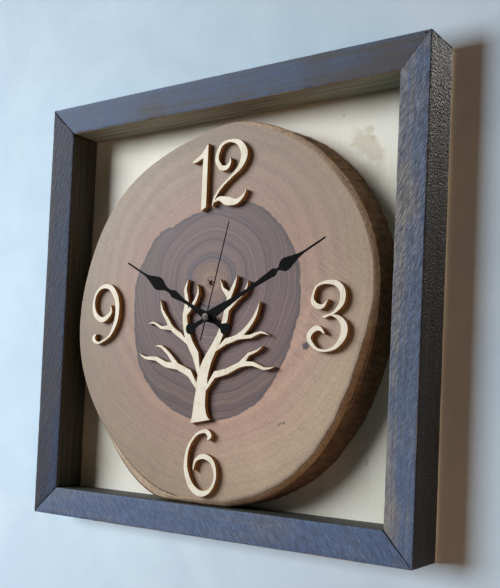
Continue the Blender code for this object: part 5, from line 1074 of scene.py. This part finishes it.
black = black_paint()
hand("hour_blade", spade_outline(18.3, HOUR_ARM, HOUR_TAPER, HOUR_SPADE, 95.9), 2.56, 3.2, 35.4, 35.9, -61.3,
     ("hour_group", "hour_hand"))
hand("minute_blade", spade_outline(17.6, MINUTE_ARM, MINUTE_TAPER, MINUTE_SPADE, 113.5), 1.66, 2.3, 37.0,
     37.5, 61.5, ("minute_group", "minute_hand"))
hub = [(2.4 * math.sin(math.radians(a)), 2.4 * math.cos(math.radians(a))) for a in range(-75, 76, 15)]
needle = [(-18, 0.5), (-2.4, 0.5)] + hub + [(2.4, 0.5), (73.5, 0.42)]
needle = [(half_width, distance) for distance, half_width in needle]
hand("second_needle", drawn(needle + [(-x, z) for x, z in needle[::-1]]), 0.51, None, 38.6, 38.9, 13.8,
     ("second_group", "second_hand"))

# The boss is a turned steel cap with a slightly domed face. Its steel is coloured near black, a painted
# dark reflection.
boss_profile = [(0, 39.05), (2.85, 39.05), (3.1, 39.2), (3.1, 39.72), (2.95, 39.95), (2.5, 40.08),
                (1.4, 40.14), (0, 40.15)]
boss = add_piece("boss", turned("boss", drawn(boss_profile), 48), DIAL_AXIS)
boss.data.materials.append(grained("turned_steel_painted_dark_reflection", "#22201d", "#48443e", (0.7, 0.7, 0.7), 0.45,
                                   metallic=1.0))
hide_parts("second_hand_boss")
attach(boss, "second_group")


# Stage. A pale plastered wall behind the clock, which only the camera sees and only from its front, and a
# pale floor well below it. A window to the upper left lights the clock, and a second lamp the wall alone.
# The room's brown floor and furniture give a low warm light from the lower right.
def plaster(name, dark, pale):
    made, add, place = new_finish(name, 0.9)
    cloud = add("TexNoise", place, Scale=11.0, Detail=6.0, Roughness=0.62, Distortion=0.6)
    tint = add("ValToRGB", cloud, stops=[(0.35, dark), (0.62, pale)])
    return surfaced(made, tint, (0.25, 1.0, add("TexNoise", place, Scale=90.0, Detail=6.0))), add


def overlaid(made, share, shader):
    """Mixes a second shader over a finish's own."""
    tree = made.node_tree
    mixed = add_node(tree, "MixShader", share, tree.nodes["Principled BSDF"].outputs["BSDF"], shader)
    tree.links.new(mixed, tree.nodes["Material Output"].inputs["Surface"])
    return made


def sheet(name, corners):
    shape = bmesh.new()
    shape.faces.new([shape.verts.new(corner) for corner in corners])
    mesh = bpy.data.meshes.new(name)
    shape.to_mesh(mesh)
    shape.free()
    return add_piece(name, mesh, (0, 0, 0))


wall = sheet("wall", [(-3, 0.001, -0.9), (3, 0.001, -0.9), (3, 0.001, 2), (-3, 0.001, 2)])
finish, add = plaster("painted_plaster_wall", "#d3e2ee", "#deecf6")
wall.data.materials.append(overlaid(finish, add("NewGeometry", out="Backfacing"), add("BsdfTransparent")))
floor = sheet("floor", [(-3, -4, -0.9), (3, -4, -0.9), (3, 3, -0.9), (-3, 3, -0.9)])
finish, add = plaster("painted_floor", "#d9e0e4", "#e2e8eb")
seen = add("Math", add("LightPath", out="Is Camera Ray"), 0.6, operation="MULTIPLY")
floor.data.materials.append(overlaid(finish, seen, add("Emission", "#dde4e8", 1.0)))
for part in (wall, floor):
    part.visible_diffuse = False
    part.visible_shadow = False

world = bpy.data.worlds.new("studio")
bpy.context.scene.world = world
world.use_nodes = True
ambient = world.node_tree.nodes["Background"]
add = functools.partial(add_node, world.node_tree)
ambient.inputs["Color"].default_value = linear("#ffeedd")
ambient.inputs["Strength"].default_value = 0.04
# Seen from behind or reflected in metal, the room is pale.
seen, glossy, through = (
    add("LightPath", out="Is " + kind + " Ray") for kind in ("Camera", "Glossy", "Transmission"))
mirrored = add("Math", glossy, through, operation="MAXIMUM")
dimmed = add("Math", mirrored, 0.25, operation="MULTIPLY")
shown = add("Math", seen, dimmed, operation="MAXIMUM")
room = add("MixShader", shown, ambient.outputs["Background"], add("Background", "#e4eaee", 1.0))
world.node_tree.links.new(room, world.node_tree.nodes["World Output"].inputs["Surface"])


def add_lamp(name, place, aim, size, power, hex_colour, wall_state=None):
    """An area lamp of a width and a height. It lights everything, or the wall alone with INCLUDE, or all but
    the wall with EXCLUDE."""
    lamp = bpy.data.lights.new(name, "AREA")
    lamp.shape = "RECTANGLE"
    lamp.size, lamp.size_y = size
    lamp.energy = power
    lamp.color = linear(hex_colour)[:3]
    lamp_object = bpy.data.objects.new(name, lamp)
    bpy.context.scene.collection.objects.link(lamp_object)
    lamp_object.location = place
    lamp_object.rotation_euler = (Vector(aim) - Vector(place)).to_track_quat("-Z", "Y").to_euler()
    lamp_object.visible_camera = False
    if wall_state:
        lit = bpy.data.collections.new(name + "_lights")
        lit.objects.link(wall)
        lit.collection_objects[0].light_linking.link_state = wall_state
        lamp_object.light_linking.receiver_collection = lit


add_lamp("window_light", (-1.68, -1.45, 0.61), (0, 0, -0.17), (1.3, 1.1), 82, "#f4f8ff", "EXCLUDE")
add_lamp("wall_light", (-0.57, -0.98, -0.2), (-0.14, 0, -0.2), (0.5, 0.5), 12.3, "#e9f6ff", "INCLUDE")
add_lamp("room_bounce", (1.3, -0.48, -0.75), (0.15, 0, -0.17), (0.8, 0.8), 4.4, "#ffc892", "EXCLUDE")
add_lamp("wall_bounce", (1.3, -0.48, -0.75), (0.15, 0, -0.17), (0.8, 0.8), 5.4, "#ffbd84", "INCLUDE")
add_lamp("back_light", (0.2, 1.6, 1.1), (0, 0, -0.17), (0.6, 0.6), 48, "#fffaf4", "EXCLUDE")

camera = bpy.data.cameras.new("camera")
camera.sensor_width = 36
camera.lens = 54
camera.shift_x = 0.02786
camera.shift_y = 0.12747
camera.clip_start = 0.01
camera_object = bpy.data.objects.new("camera", camera)
bpy.context.scene.collection.objects.link(camera_object)
camera_object.location = (0.403, -0.567, -0.2375)
camera_object.rotation_euler = [math.radians(angle) for angle in (92.0224, -2.4857, 35.1344)]
bpy.context.scene.camera = camera_object
bpy.context.scene.view_settings.view_transform = "Standard"
